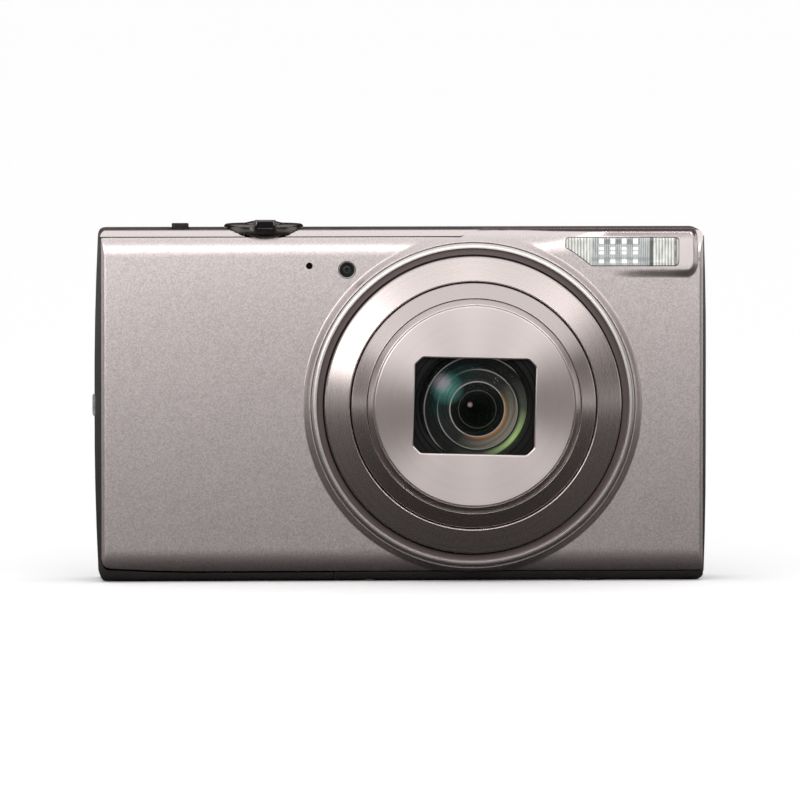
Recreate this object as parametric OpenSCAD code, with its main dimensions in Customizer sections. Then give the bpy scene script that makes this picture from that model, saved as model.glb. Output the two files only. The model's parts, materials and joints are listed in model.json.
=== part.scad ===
// Compact digital camera: collapsing zoom lens with a barrier, flash, rear screen, battery door.
// The front faces -Y and +Z is up. The origin lies on the base plane, under the middle of the camera.
// Sizes along the lens are distances in front of the origin, so they grow towards -Y.

/* [Body] */
// Width over the bulged sides
body_w = 99.6; // [97:0.2:103]
// Height from the base to the top rim
body_h = 57.2; // [56.6:0.1:60]
// Depth from the flat front to the flat back
body_d = 16.6; // [16.4:0.1:18]
// How far each side bulges past the front cover
side_bulge = 0.9; // [0.6:0.05:1]
// How far the sides draw in towards the top and the base
side_bow = 0.75; // [0.3:0.05:0.8]
// Radius that turns the front into the top
top_r = 3.5; // [2.8:0.1:4]
// Radius that turns the front into the base
bottom_r = 4.5; // [3:0.1:5]
// Radius round the back edges
rear_r = 2; // [1.6:0.1:2.4]
// Radius of the upright front edges
edge_r = 0.5; // [0.3:0.05:0.8]
// Radius of the corners seen from the front
corner_r = 1.3; // [1.2:0.1:2]
// Wall of every cover
wall = 1; // [0.9:0.05:1.05]
// Depth of the front cover behind the flat front
front_d = 3.9; // [3.6:0.1:4.2]
// Depth of the front cover's lip where the side bands lap over it
lip_d = 1; // [0.8:0.05:1.4]
// How far the side bands lap over the front cover
lap_w = 0.45; // [0.4:0.05:0.6]
// Depth of the band between the front and rear covers
band_d = 7.6; // [7.5:0.1:7.8]
// Height of the top cover at its seam
top_cover_h = 1.1; // [1.06:0.02:1.3]
// Where the top cover ends and the front cover turns over the top
top_cover_end = 13.6; // [10:0.2:16]
// Height of the base seam
base_seam = 1.6; // [1.4:0.1:1.8]
// How much the base seam climbs at the battery end
seam_climb = 1.2; // [0.6:0.1:1.6]
// How far the base is set in from the sides
base_inset = 0.25; // [0.1:0.05:0.4]
// How far the top deck lies below the rim
deck_sink = 0.3; // [0.1:0.05:0.4]

/* [Lens] */
// Lens axis, sideways from the middle of the body
lens_x = 11.35; // [10:0.05:12]
// Height of the lens axis over the middle of the body
lens_rise = 0.2; // [0:0.05:0.4]
// How far the retracted lens stands in front of the flat front
lens_stand = 5.9; // [5.7:0.1:6.4]
// Room over and under the moulded collar's bore
collar_room = 2.2; // [2.1:0.05:2.4]
// How far the collar stands off the flat front
collar_h = 1.2; // [0.8:0.1:1.4]
// Width of the collar's rim
collar_rim = 0.45; // [0.3:0.05:0.7]
// Radius of the hollow fillet round the collar
collar_fillet = 1.1; // [0.8:0.1:1.2]
// Width of the polished bezel
bezel_w = 0.9; // [0.6:0.05:1]
// Width of the dark groove inside the bezel
ring_gap = 1.25; // [1.15:0.05:1.4]
// Width of the fixed spun ring
ring_w = 4.05; // [3.9:0.05:4.3]
// Wall of the first barrel
barrel_1_wall = 2.35; // [2.1:0.05:2.4]
// Wall of the second barrel
barrel_2_wall = 0.7; // [0.6:0.05:0.8]
// Width of the second barrel's rim round the front plate
plate_rim = 1.05; // [0.95:0.05:1.2]
// Thickness of the front plate
plate_t = 0.5; // [0.4:0.05:0.6]
// Width of the front plate at each side of its window
window_side = 6.45; // [6.3:0.05:7]
// Width of the front plate over and under its window
window_top = 8.5; // [8.4:0.05:9]
// Cut across each corner of the window
window_cut = 1.2; // [0.6:0.1:2]
// Turn of the window, clockwise seen from the front
window_turn = 1.4; // [0:0.1:3]
// How far the front plate reaches past the front element
plate_reach = 7.45; // [7.3:0.05:7.8]
// Radius of the front element's outer face
glass_curve = 26; // [22:0.5:40]
// Thickness of one barrier blade
blade_t = 0.3; // [0.2:0.05:0.3]
// Overlap of two neighbouring blades when shut
blade_lap = 0.2; // [0.1:0.05:0.4]
// Running gap between one barrel and the next
barrel_gap = 0.2; // [0.15:0.05:0.25]

/* [Front details] */
// From the right edge of the front to the flash window
flash_side = 4.1; // [3.9:0.1:4.7]
// Width of the flash window
flash_w = 18.3; // [17:0.1:18.6]
// From the top rim down to the flash window
flash_drop = 1.35; // [1.3:0.05:1.5]
// Height of the flash window
flash_h = 4.55; // [4.2:0.05:4.6]
// From the collar's bore to the arc that cuts the window's corner
flash_gap = 3.25; // [2.9:0.05:3.6]
// How far the flash housing stands off the front
flash_pad = 0.6; // [0.3:0.1:0.9]
// Rim of the flash housing round the window
flash_rim = 1.25; // [1:0.05:1.5]
// Microphone hole, sideways
mic_x = -15.15; // [-16:0.1:-14]
// Microphone hole, below the top rim
mic_drop = 5.85; // [5.6:0.05:6.2]
// Microphone hole, radius
mic_r = 0.55; // [0.4:0.05:0.8]
// Lamp, sideways
lamp_x = -9.05; // [-10:0.05:-8]
// Lamp, below the top rim
lamp_drop = 6.5; // [5.8:0.1:7.2]
// Lamp, radius
lamp_r = 1.35; // [1:0.05:1.6]

/* [Top controls] */
// Zoom lever and shutter button, sideways
lever_x = -22.3; // [-24:0.1:-21]
// Zoom lever and shutter button, behind the flat front
lever_inset = 6.5; // [6.5:0.05:6.8]
// Radius of the zoom lever
lever_r = 6.45; // [6.2:0.05:6.6]
// Height of the zoom lever above the top rim
lever_h = 0.8; // [0.6:0.05:1]
// Depth of the lever's bowl below the top rim
bowl_d = 1.6; // [1.4:0.1:1.7]
// Width of the finger tab
tab_w = 3.7; // [3:0.1:4.4]
// Height of the finger tab over the lever
tab_h = 0.8; // [0.5:0.1:1]
// Radius of the shutter button
shutter_r = 3.25; // [3:0.05:3.4]
// Travel of the shutter button
shutter_travel = 0.8; // [0.5:0.1:0.8]
// Power button, sideways
power_x = -9.65; // [-11:0.05:-9]
// Power button, radius
power_r = 1.95; // [1.7:0.05:2.2]
// From the left edge of the front to the mode knob
mode_inset = 13.1; // [12.1:0.1:13.9]
// Mode knob, width
mode_w = 2.7; // [2.2:0.1:3]
// Mode knob, height above the top rim
mode_h = 0.8; // [0.6:0.1:1]
// Travel of the mode knob to each side
mode_travel = 1.6; // [1:0.1:1.8]
// Pitch of the speaker holes
speaker_pitch = 1.45; // [1.3:0.05:1.6]
// Number of speaker holes
speaker_holes = 5; // [4:1:5]
// Middle of the speaker holes, sideways
speaker_x = -1.3; // [-2:0.1:0]

/* [Back] */
// From the screen glass to the right edge of the back
screen_side = 2.6; // [2.4:0.1:3.3]
// From the four-way pad to the screen glass
screen_gap = 7.2; // [6.8:0.1:7.8]
// Lower edge of the screen glass
screen_z0 = 4; // [3.6:0.1:4.6]
// From the top rim down to the screen glass
screen_drop = 3.6; // [3.4:0.1:4.2]
// Thickness of the screen glass
screen_t = 1.2; // [1:0.05:1.3]
// How far the keys stand off the back
key_stand = 0.3; // [0.2:0.05:0.4]
// Travel of the keys
key_travel = 0.3; // [0.2:0.05:0.3]
// Radius of the round keys
key_r = 2.3; // [2:0.05:2.5]
// From the left edge of the back to the middle of the four-way pad
pad_inset = 14.9; // [14.5:0.1:15.5]
// Height of the four-way pad over the middle of the body
pad_rise = 1.4; // [0:0.1:3]
// Radius of the four-way pad
pad_r = 8.3; // [8:0.1:8.6]
// Radius of the hole for the middle key
pad_hole_r = 3.7; // [3.5:0.1:4]
// Spacing of the round keys, sideways
key_pitch_x = 12; // [11:0.1:13]
// Spacing of the round keys from the pad's middle, up and down
key_pitch_z = 17.2; // [16:0.1:18]

/* [Battery and card] */
// Room between the battery and the lens unit
battery_room = 1.95; // [1.8:0.05:3]
// Height of the battery
battery_h = 40.2; // [38:0.1:41]
// Depth of the boards and the screen behind the card
rear_stack = 5.6; // [5.5:0.05:5.9]
// Width of the memory card
card_w = 24; // [23.5:0.1:24.2]
// Height of the memory card
card_h = 32; // [30:0.1:32.5]
// Thickness of the memory card
card_t = 2.1; // [1.9:0.1:2.1]
// Room between the side wall and the battery, where the strap lug sits
battery_inset = 2.3; // [2.2:0.05:2.5]
// How far the battery door reaches past the battery
door_margin = 0.8; // [0.6:0.05:1]
// Travel of the door before it swings
door_travel = 2; // [1.5:0.1:2.2]
// Radius of the door's knuckle
knuckle_r = 0.6; // [0.55:0.01:0.6]
// Radius of the door's pin
door_pin_r = 0.33; // [0.3:0.01:0.36]

/* [Base and sides] */
// Tripod socket, from the right edge of the front
tripod_side = 17.9; // [16.7:0.1:18.7]
// Tripod socket, behind the flat front
tripod_inset = 6.95; // [6.9:0.05:7]
// Bore radius of the tripod socket
tripod_r = 3.175; // [3.1:0.005:3.2]
// Depth of the tripod bore
tripod_d = 5; // [4.5:0.1:5.5]
// Wall of the tripod insert
tripod_wall = 1.1; // [0.9:0.05:1.15]
// Height of the strap lug's middle
lug_z = 28.5; // [28:0.1:30]
// Length of the strap lug
lug_h = 3.8; // [3.4:0.1:4.4]
// How far the strap lug stands past the side
lug_stand = 0.3; // [0.2:0.05:0.4]
// Lower edge of the terminal cover
port_z0 = 24.6; // [24.4:0.1:25]
// Height of the terminal cover
port_h = 20.8; // [20.4:0.1:21.2]
// Radius of the terminal cover's hinge edge
port_hinge_r = 0.5; // [0.45:0.01:0.52]

/* [Fits] */
// Gap round a piece that is set into a cover
fit = 0.1; // [0.05:0.01:0.12]
// Gap round a piece that moves
play = 0.15; // [0.12:0.01:0.17]

/* [Hidden] */
$fn = 64;

champagne = [0.80, 0.76, 0.70];
graphite = [0.16, 0.16, 0.17];
black = [0.06, 0.06, 0.07];
spun = [0.72, 0.71, 0.70];
chrome = [0.85, 0.85, 0.86];
steel = [0.62, 0.63, 0.65];
brass = [0.72, 0.60, 0.35];
glassy = [0.35, 0.50, 0.50];
board = [0.10, 0.35, 0.18];

far = 100;
depth = lens_stand + body_d + key_stand;
y_front = lens_stand - depth / 2;
y_rear = y_front + body_d;
y_band = y_front + front_d;
y_back = y_band + band_d;
half_w = body_w / 2 - side_bulge;
top_seam = body_h - top_cover_h;
deck_z = body_h - deck_sink;
ceiling = body_h - wall;
lever_y = y_front + lever_inset;
mode_x = mode_inset - half_w;
board_y = y_rear - rear_stack;

// Lens unit, with its stations in front of the origin
lens_z = body_h / 2 + lens_rise;
lens_f = depth / 2;
face_f = -y_front;
plate_back = lens_f - plate_t;
rim_2_f = lens_f - 0.2;
rim_1_f = lens_f - 1.2;
ring_front_f = lens_f - 2.7;
ring_edge_f = lens_f - 4;
bezel_f = face_f + collar_h + 0.4;
cam_f = face_f - 0.4;
cam_back = 1.8 - board_y;
barrel_back = cam_back + 0.7;
collar_r = body_h / 2 - collar_room;
bezel_r = collar_r - play;
bezel_in = bezel_r - bezel_w;
ring_r = bezel_in - ring_gap;
bore_r = ring_r - ring_w;
barrel_1_r = bore_r - barrel_gap;
barrel_1_in = barrel_1_r - barrel_1_wall;
barrel_2_r = barrel_1_in - barrel_gap;
barrel_2_in = barrel_2_r - barrel_2_wall;
barrel_2_back = barrel_back + 1.2;
cam_r = bore_r + 1.35;
plate_r = barrel_2_r - plate_rim;
window_w = 2 * (plate_r - window_side);
window_h = 2 * (plate_r - window_top);
glass_r = plate_r - plate_reach;
carrier_f = plate_back - 1.15;
carrier_t = 0.7;
blade_w = window_w + 0.8;
blade_h = window_h / 4 + blade_lap + 0.1;
blade_park = window_h / 2 + 0.15;
glass_f = carrier_f - carrier_t - 0.35;
glass_back = glass_f - glass_curve + sqrt(glass_curve * glass_curve - glass_r * glass_r) - 0.67;
iris_r = barrel_2_in - 2.6;

// Flash, microphone and lamp
flash_x1 = half_w - flash_side;
flash_x0 = flash_x1 - flash_w;
flash_z0 = body_h - flash_drop - flash_h;
flash_arc = collar_r + flash_gap;
mic_z = body_h - mic_drop;
lamp_z = body_h - lamp_drop;

// Battery and card, which fill the room beside the lens unit
battery_x0 = battery_inset - half_w;
battery_w = lens_x - cam_r - battery_room - battery_x0;
door_end = battery_x0 + battery_w + door_margin;
battery_y0 = y_front + wall + 1.8;
battery_z0 = 3.5;
card_y0 = board_y - fit - card_t;
battery_t = card_y0 - 0.8 - battery_y0;
card_x0 = battery_x0 + 1.5;
card_z0 = 3.2;
box_wall = 0.4;
door_y = y_back - 1;
door_z = knuckle_r + 0.15;
door_lug_x = battery_x0 + battery_w / 2 - 2;

// Keys, boards and screen
pad_x = pad_inset - half_w;
pad_z = body_h / 2 + pad_rise;
screen_x0 = pad_x + pad_r + screen_gap;
screen_x1 = half_w - screen_side;
screen_z1 = body_h - screen_drop;
lamp_place = [screen_x0 - 4.5, screen_z1 - 1];
key_places = [for (sx = [1, -1], sz = [1, -1])
    [pad_x + sx * key_pitch_x / 2, pad_z + sz * key_pitch_z]];
board_t = 0.8;
screen_y = y_rear - fit - screen_t;
panel_y = board_y + board_t + 0.6;
keys_y = board_y + board_t + 0.7;
keys_t = 0.8;
dome_y = keys_y + keys_t + 0.3;
bowl_z = body_h - bowl_d;
hub_r = shutter_r + 0.3;
hub_wall = 0.85;
stem_z = bowl_z - 1.9;
switch_z = stem_z - shutter_travel - 0.4;

// Base and sides
tripod_x = half_w - tripod_side;
tripod_y = y_front + tripod_inset;
screw_places = [[door_end + 6, y_front + 4.3], [lens_x + 3.65, y_front + 8.1], [half_w - 4.2, y_front + 5.5]];
lug_y = (y_band + y_back) / 2;
lug_back = wall + 0.1 - half_w;
port_x = half_w + side_bulge - port_hinge_r - 0.02;
port_y = y_back - 1.1;
port_y0 = y_band + 0.9;
capacitor_r = (board_y - y_front - wall - 1.6) / 2;

// Arc as a list of points
function arc(c, r, a0, a1, n = 8) =
    [for (i = [0:n]) let (a = a0 + (a1 - a0) * i / n) [c[0] + r * cos(a), c[1] + r * sin(a)]];
function mirrored(p) = [for (i = [len(p) - 1:-1:0]) [-p[i][0], p[i][1]]];

// Extrudes an outline drawn in X and Z from depth y0 to y1
module along_y(y0, y1) translate([0, y1, 0]) rotate([90, 0, 0]) linear_extrude(y1 - y0) children();
// Extrudes an outline drawn in Y and Z from x0 to x1
module along_x(x0, x1) translate([x0, 0, 0]) rotate([90, 0, 90]) linear_extrude(x1 - x0) children();
module along_z(z0, z1) translate([0, 0, z0]) linear_extrude(z1 - z0) children();
// Box between two corners
module block(a, b) translate(a) cube(b - a);
// Turns a profile of radius and distance in front of the origin round the lens axis
module about_lens() translate([lens_x, 0, lens_z]) rotate([90, 0, 0]) rotate_extrude() children();
module about_lever() translate([lever_x, lever_y, 0]) rotate_extrude() children();
// Pins along Y and X
module pin_y(x, z, r, y0, y1) translate([x, y1, z]) rotate([90, 0, 0]) cylinder(r = r, h = y1 - y0);
module pin_x(y, z, r, x0, x1) translate([x0, y, z]) rotate([0, 90, 0]) cylinder(r = r, h = x1 - x0);
module pin_z(x, y, r, z0, z1) translate([x, y, z0]) cylinder(r = r, h = z1 - z0);
module rounded(x0, z0, x1, z1, r)
    hull() for (x = [x0 + r, x1 - r], z = [z0 + r, z1 - r]) translate([x, z]) circle(r, $fn = 32);

// Outline of the body from the side, from above and from the front, each drawn in by t
module side_profile(t) polygon(concat(
    arc([y_front + bottom_r, bottom_r], bottom_r - t, 180, 270),
    arc([y_rear - rear_r, rear_r], rear_r - t, 270, 360),
    arc([y_rear - rear_r, body_h - rear_r], rear_r - t, 0, 90),
    arc([y_front + top_r, body_h - top_r], top_r - t, 90, 180)));

module plan_profile(t) {
    front_r = max(edge_r, t + 0.05);
    chord = body_d - edge_r - rear_r;
    bow = (chord * chord / 4 + side_bulge * side_bulge) / (2 * side_bulge);
    reach = asin(chord / 2 / bow);
    right = concat(
        arc([half_w - front_r, y_front + front_r], front_r - t, 270, 360, 4),
        arc([half_w + side_bulge - bow, y_front + edge_r + chord / 2], bow - t,
            -reach * (1 - 2 * max(0, t - edge_r) / chord), reach, 8),
        arc([half_w - rear_r, y_rear - rear_r], rear_r - t, 0, 90, 7));
    polygon(concat(right, mirrored(right)));
}

module front_outline(t) {
    rise = body_h - 2 * corner_r;
    sweep = (rise * rise / 4 + side_bow * side_bow) / (2 * side_bow);
    reach = asin(rise / 2 / sweep);
    end = body_w / 2 - side_bow - corner_r;
    right = concat(arc([end, corner_r], corner_r - t, 270, 345, 3),
        arc([body_w / 2 - sweep, body_h / 2], sweep - t, -reach, reach, 8),
        arc([end, body_h - corner_r], corner_r - t, 15, 90, 3));
    polygon(concat(right, mirrored(right)));
}

module body_form(t) intersection() {
    along_x(-far, far) side_profile(t);
    along_z(-1, far) plan_profile(t);
    along_y(-far, far) front_outline(t);
}

module shell() difference() {
    body_form(0);
    body_form(wall);
}

// Everything above the base seam, which climbs at the battery end
module above_base(gap = 0) translate([0, gap]) polygon(concat(
    [[-far, base_seam + seam_climb + 0.8]],
    arc([-half_w + 1.6, base_seam + seam_climb + 0.8], 1.6, 180, 250, 6),
    [[-half_w + 8, base_seam + 0.15], [-half_w + 14, base_seam], [far, base_seam], [far, far], [-far, far]]));

module below_base(gap) difference() {
    translate([-far, -far]) square([2 * far, 2 * far]);
    translate([0, -gap]) above_base();
}

// What the front cover keeps over the top seam, seen from the front
module past_top_cover() polygon([
    [top_cover_end - 4.2, top_seam - 1], [top_cover_end - 4.2, top_seam], [top_cover_end, body_h + 0.1],
    [top_cover_end, far], [far, far], [far, top_seam - 1]]);

// Room for the zoom lever's bowl
module lever_well(gap) about_lever() translate([0, -gap])
    polygon([[0, bowl_z], [lever_r - 1.5 + gap, bowl_z], [lever_r - 0.5 + gap, bowl_z + 0.3],
        [lever_r + gap, bowl_z + 0.9], [lever_r + gap, far], [0, far]]);

// Where the side bands lap over the ends of the front cover
module laps() for (s = [-1, 1]) translate([s * (half_w - lap_w + far), y_front + lip_d + far, body_h / 2])
    cube(2 * far, center = true);

module flash_outline(gap) difference() {
    rounded(flash_x0 - gap, flash_z0 - gap, flash_x1 + gap, flash_z0 + flash_h + gap, 0.6);
    translate([lens_x, lens_z]) circle(flash_arc - gap, $fn = 128);
}

// Moulded front: the flat face flows into the lens collar and the flash housing
module lens_collar() about_lens() {
    top = face_f + collar_h;
    foot = collar_r + collar_rim + collar_fillet;
    polygon(concat(
        [[collar_r, face_f - front_d], [collar_r, top - 0.15], [collar_r + 0.15, top]],
        [[collar_r + collar_rim - 0.15, top], [collar_r + collar_rim, top - 0.15]],
        arc([foot, face_f + collar_fillet], collar_fillet, 180, 270),
        [[foot, face_f - 0.5], [collar_r + wall, face_f - wall], [collar_r + wall, face_f - front_d]]));
}

module flash_housing() {
    x1 = flash_x1 + flash_rim + flash_pad;
    z0 = flash_z0 - flash_rim;
    z1 = flash_z0 + flash_h + flash_rim - 0.2;
    hull() {
        along_y(y_front, y_front + 2) rounded(flash_x0 - 2.5, z0, x1, z1, 1.6);
        along_y(y_front - flash_pad * 0.7, y_front) rounded(flash_x0 + 4, z0 + 0.2, x1 - 0.2, z1 - 0.2, 1.5);
        along_y(y_front - flash_pad, y_front)
            rounded(flash_x0 + 7, z0 + 0.6, x1 - 0.6, z1 - 0.5, 1.2);
    }
}

module front_cover() color(champagne) difference() {
    intersection() {
        difference() {
            union() {
                body_form(0);
                lens_collar();
                flash_housing();
            }
            body_form(wall);
        }
        along_y(-far, y_band) above_base();
    }
    difference() {
        along_y(-far, far) translate([-far, top_seam]) square([2 * far, far]);
        along_y(-far, far) past_top_cover();
    }
    pin_y(lens_x, lens_z, collar_r, -far, far);
    along_y(-far, far) flash_outline(fit);
    pin_y(mic_x, mic_z, mic_r, -far, far);
    pin_y(lamp_x, lamp_z, lamp_r + fit, -far, far);
    lever_well(play);
    laps();
}

module rear_cover() color(graphite) difference() {
    intersection() {
        shell();
        along_y(y_back, far) square([4 * far, 4 * far], center = true);
    }
    along_y(0, far) rounded(screen_x0 - fit, screen_z0 - fit, screen_x1 + fit, screen_z1 + fit, 1);
    pin_y(pad_x, pad_z, pad_r + 0.35, 0, far);
    for (p = key_places) pin_y(p[0], p[1], key_r + play, 0, far);
    pin_y(lamp_place[0], lamp_place[1], 0.6 + fit, 0, far);
    lever_well(play);
}

module top_cover() color(champagne) difference() {
    union() {
        intersection() {
            shell();
            difference() {
                along_y(-far, y_back) translate([-far, top_seam]) square([2 * far, far]);
                along_y(-far, y_band) past_top_cover();
            }
        }
        // Bowl under the lever
        intersection() {
            pin_z(lever_x, lever_y, lever_r + play + 0.9, bowl_z - play - 1, ceiling + 0.2);
            union() {
                body_form(wall + fit);
                intersection() {
                    body_form(wall / 2);
                    along_y(y_band + fit, y_back) square(4 * far, center = true);
                }
            }
        }
    }
    // Sunk deck, open to the back
    along_z(deck_z, far) translate([-half_w + 2.8, y_front + top_r - 0.3])
        square([half_w - 2.8 + top_cover_end - 1.6, far]);
    lever_well(play);
    pin_z(lever_x, lever_y, hub_r + hub_wall + play, 0, far);
    pin_z(power_x, lever_y, power_r + play, 0, far);
    along_z(0, far) translate([mode_x, lever_y + 2])
        square([mode_w - 0.4 + 2 * (mode_travel + play), 1.4 + 2 * play], center = true);
    for (i = [0:speaker_holes - 1])
        pin_z(speaker_x + (i - (speaker_holes - 1) / 2) * speaker_pitch, lever_y + 1.5, 0.35, ceiling - 1, far);
}

module bottom_cover() color(graphite) difference() {
    union() {
        intersection() {
            shell();
            along_z(-1, far) plan_profile(base_inset);
            along_y(-far, y_back) below_base(0);
        }
        // Boss that carries the door's pin
        block([door_end + fit, door_y - 1, wall / 2], [door_end + 4, y_back - fit, wall + 0.8]);
    }
    block([-far, -far, -1], [door_end + fit, y_back, far]);
    pin_x(door_y, door_z, door_pin_r + fit / 2, door_end - 1, door_end + 3.5);
    pin_z(tripod_x, tripod_y, tripod_r + tripod_wall + fit, -1, far);
    for (p = screw_places) screw(p, fit);
}

// Band between the front and rear covers, at one side
module side_band() intersection() {
    shell();
    union() {
        along_y(y_band, y_back) above_base();
        intersection() {
            along_y(-far, y_back) above_base();
            laps();
        }
        block([-far, door_y + knuckle_r + fit - 1.2, base_seam - 0.2], [0, y_back, base_seam + 3]);
    }
    block([-far, -far, -1], [far, far, top_seam]);
}

module side_band_left() color(graphite) difference() {
    union() {
        intersection() {
            side_band();
            block([-far, -far, -1], [0, far, far]);
        }
        // Pocket behind the strap lug
        intersection() {
            body_form(0);
            block([-far, lug_y - 2.6, lug_z - lug_h / 2 - 0.8],
                [lug_back + 0.6, lug_y + 2.6, lug_z + lug_h / 2 + 0.8]);
        }
    }
    block([-far, lug_y - 2, lug_z - lug_h / 2], [lug_back, lug_y + 2, lug_z + lug_h / 2]);
}

module side_band_right() color(graphite) difference() {
    intersection() {
        side_band();
        block([0, -far, -1], [far, far, far]);
    }
    block([half_w - 2, port_y0 - fit, port_z0 - fit],
        [far, port_y + port_hinge_r + fit, port_z0 + port_h + fit]);
    for (z = [port_z0, port_z0 + port_h]) pin_z(port_x, port_y, 0.3 + fit / 2, z - 0.7, z + 0.7);
}

// Lens unit
module lens_bezel() color(chrome) about_lens() polygon(concat(
    [[bezel_in - 1, cam_f - 1.5], [bezel_r, cam_f - 1.5]],
    arc([bezel_r - bezel_w / 2, bezel_f - bezel_w / 2], bezel_w / 2, 0, 180, 12),
    [[bezel_in, face_f + 0.4], [bezel_in - 1, face_f + 0.4]]));

module lens_ring_fixed() color(spun) about_lens() polygon([
    [bore_r, cam_f], [ring_r, cam_f], [ring_r, ring_edge_f - 0.15], [ring_r - 0.15, ring_edge_f],
    [bore_r + 0.15, ring_front_f], [bore_r, ring_front_f - 0.15]]);

module cam_barrel() color(black) about_lens() polygon([
    [bore_r, cam_back], [cam_r, cam_back], [cam_r, cam_f - 2.1], [ring_r + 0.9, cam_f - 2.1],
    [ring_r + 0.9, cam_f - 1.5], [ring_r + 0.1, cam_f - 1.5], [ring_r + 0.1, cam_f], [bore_r, cam_f]]);

module lens_base() color(black) difference() {
    union() {
        pin_y(lens_x, lens_z, cam_r + 0.9, -cam_back, -cam_back + 1.2);
        along_y(-cam_back - 0.8, -cam_back) translate([lens_x, lens_z]) square([12, 11], center = true);
    }
    along_y(-far, far) translate([lens_x, lens_z]) square([8.2, 7.2], center = true);
}

module image_sensor() color(board) {
    along_y(-cam_back - 1.2, -cam_back + 1) translate([lens_x, lens_z]) square([8, 7], center = true);
    along_y(-cam_back + 1, -cam_back + 1.2) translate([lens_x, lens_z]) square([8, 7], center = true);
}

module barrel_1() color(spun) about_lens() polygon([
    [iris_r - 2, barrel_back], [barrel_1_r, barrel_back], [barrel_1_r, ring_front_f],
    [barrel_1_r - 0.1, ring_front_f + 0.1], [barrel_1_in + 0.1, rim_1_f], [barrel_1_in, rim_1_f - 0.1],
    [barrel_1_in, barrel_back + 0.9], [iris_r - 2, barrel_back + 0.9]]);

module barrel_2() color(spun) about_lens() polygon([
    [barrel_2_in, barrel_2_back], [barrel_2_r, barrel_2_back], [barrel_2_r, rim_1_f + 0.05],
    [plate_r + 0.2, rim_2_f], [plate_r + 0.05, rim_2_f], [plate_r + 0.05, plate_back],
    [plate_r - 0.35, plate_back], [barrel_2_in, plate_back - 0.5], [barrel_2_in, carrier_f],
    [glass_r + 1.8, carrier_f], [glass_r + 1.8, carrier_f - carrier_t], [barrel_2_in, carrier_f - carrier_t]]);

module window_outline(grow = 0) rotate(-window_turn) {
    w = window_w / 2 + grow;
    h = window_h / 2 + grow;
    c = window_cut;
    polygon([[w - c, -h], [w, c - h], [w, h - c], [w - c, h],
        [c - w, h], [-w, h - c], [-w, c - h], [c - w, -h]]);
}

module front_plate() color(spun) along_y(-lens_f, -plate_back) translate([lens_x, lens_z]) difference() {
    circle(plate_r);
    window_outline();
}

// One leaf of the barrier: side is 1 above the window and -1 below it, layer 0 lies in front
module blade(side, layer) color(black) {
    f = plate_back - 0.15 - layer * (blade_t + 0.12);
    along_y(-f, -f + blade_t) translate([lens_x, lens_z]) rotate(90 - 90 * side) intersection() {
        translate([-blade_w / 2, blade_park]) square([blade_w, blade_h]);
        circle(barrel_2_in - 1.2);
    }
}
module barrier_upper_inner() blade(1, 0);
module barrier_upper_outer() blade(1, 1);
module barrier_lower_inner() blade(-1, 0);
module barrier_lower_outer() blade(-1, 1);

module front_lens_holder() color(black) about_lens() polygon([
    [glass_r * 0.48, glass_back - 2], [glass_r + 1.7, glass_back - 2],
    [glass_r + 1.7, carrier_f - carrier_t - 0.8],
    [glass_r + 3.2, carrier_f - carrier_t - 0.8], [glass_r + 3.2, carrier_f - carrier_t],
    [glass_r + 1.7, carrier_f - carrier_t], [glass_r + 1.7, carrier_f - 0.1], [glass_r + 0.9, carrier_f - 0.1],
    [glass_r, glass_f - 0.9], [glass_r, glass_back - 0.8], [glass_r * 0.76, glass_back - 0.8],
    [glass_r * 0.56, glass_back - 1.6], [glass_r * 0.48, glass_back - 1.6]]);

module front_glass() color(glassy) about_lens() {
    reach = asin(glass_r / glass_curve);
    polygon(concat([[0, glass_back], [glass_r - 1.2, glass_back], [glass_r - 1.2, glass_back - 0.8],
        [glass_r, glass_back - 0.8]],
        arc([0, glass_f - glass_curve], glass_curve, 90 - reach, 90, 12)));
}

module iris_unit() color(black) about_lens() {
    b = barrel_back + 0.9;
    polygon([[3.2, b + 4.3], [iris_r - 5, b + 4.3], [iris_r - 5, b + 2.7], [4.7, b + 2.7], [4.7, b + 0.9],
        [iris_r - 5, b + 0.9], [iris_r - 5, b], [iris_r, b], [iris_r, b + 3.5], [iris_r - 4, b + 3.5],
        [iris_r - 4, b + 5.1], [3.2, b + 5.1]]);
}

module second_glass() color(glassy) about_lens() translate([0, barrel_back]) polygon(concat(
    [[0, 2.3], [4.6, 2.3], [4.6, 3.3]], arc([0, -5.2], 9.6, 61, 90, 6)));

module zoom_motor() color(steel) {
    y = 5.9 - cam_f;
    x = lens_x - 10.35;
    pin_x(y, 5.2, 3, door_end + 2, x);
    block([x, y - 3, 1.8], [x + 7.6, y + 2.6, 6.9]);
}

// Flash
module flash_window() color(glassy) along_y(y_front - flash_pad + 0.05, y_front + 0.8) flash_outline(0);

module flash_reflector() color(chrome) {
    z = flash_z0 + flash_h / 2;
    along_x(flash_x0 + 3.4, flash_x1 - 1.2) difference() {
        translate([y_front + 1, z - flash_h / 2 + 0.1]) square([4.4, flash_h - 0.2]);
        intersection() {
            translate([y_front + 1.5, z]) scale([1.6, 1]) circle(flash_h / 2 - 0.45);
            translate([y_front, z - far]) square([far, 2 * far]);
        }
    }
}

module flash_tube() color(glassy)
    pin_x(y_front + 3.4, flash_z0 + flash_h / 2, 0.85, flash_x0 + 3, flash_x1 - 0.8);

module flash_capacitor() color(black) {
    x = half_w - wall - capacitor_r - 0.2;
    y = board_y - capacitor_r - 0.2;
    pin_z(x, y, capacitor_r, 3.3, 22.6);
    pin_z(x, y, capacitor_r - 0.35, 22.6, 23.5);
}

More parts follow.
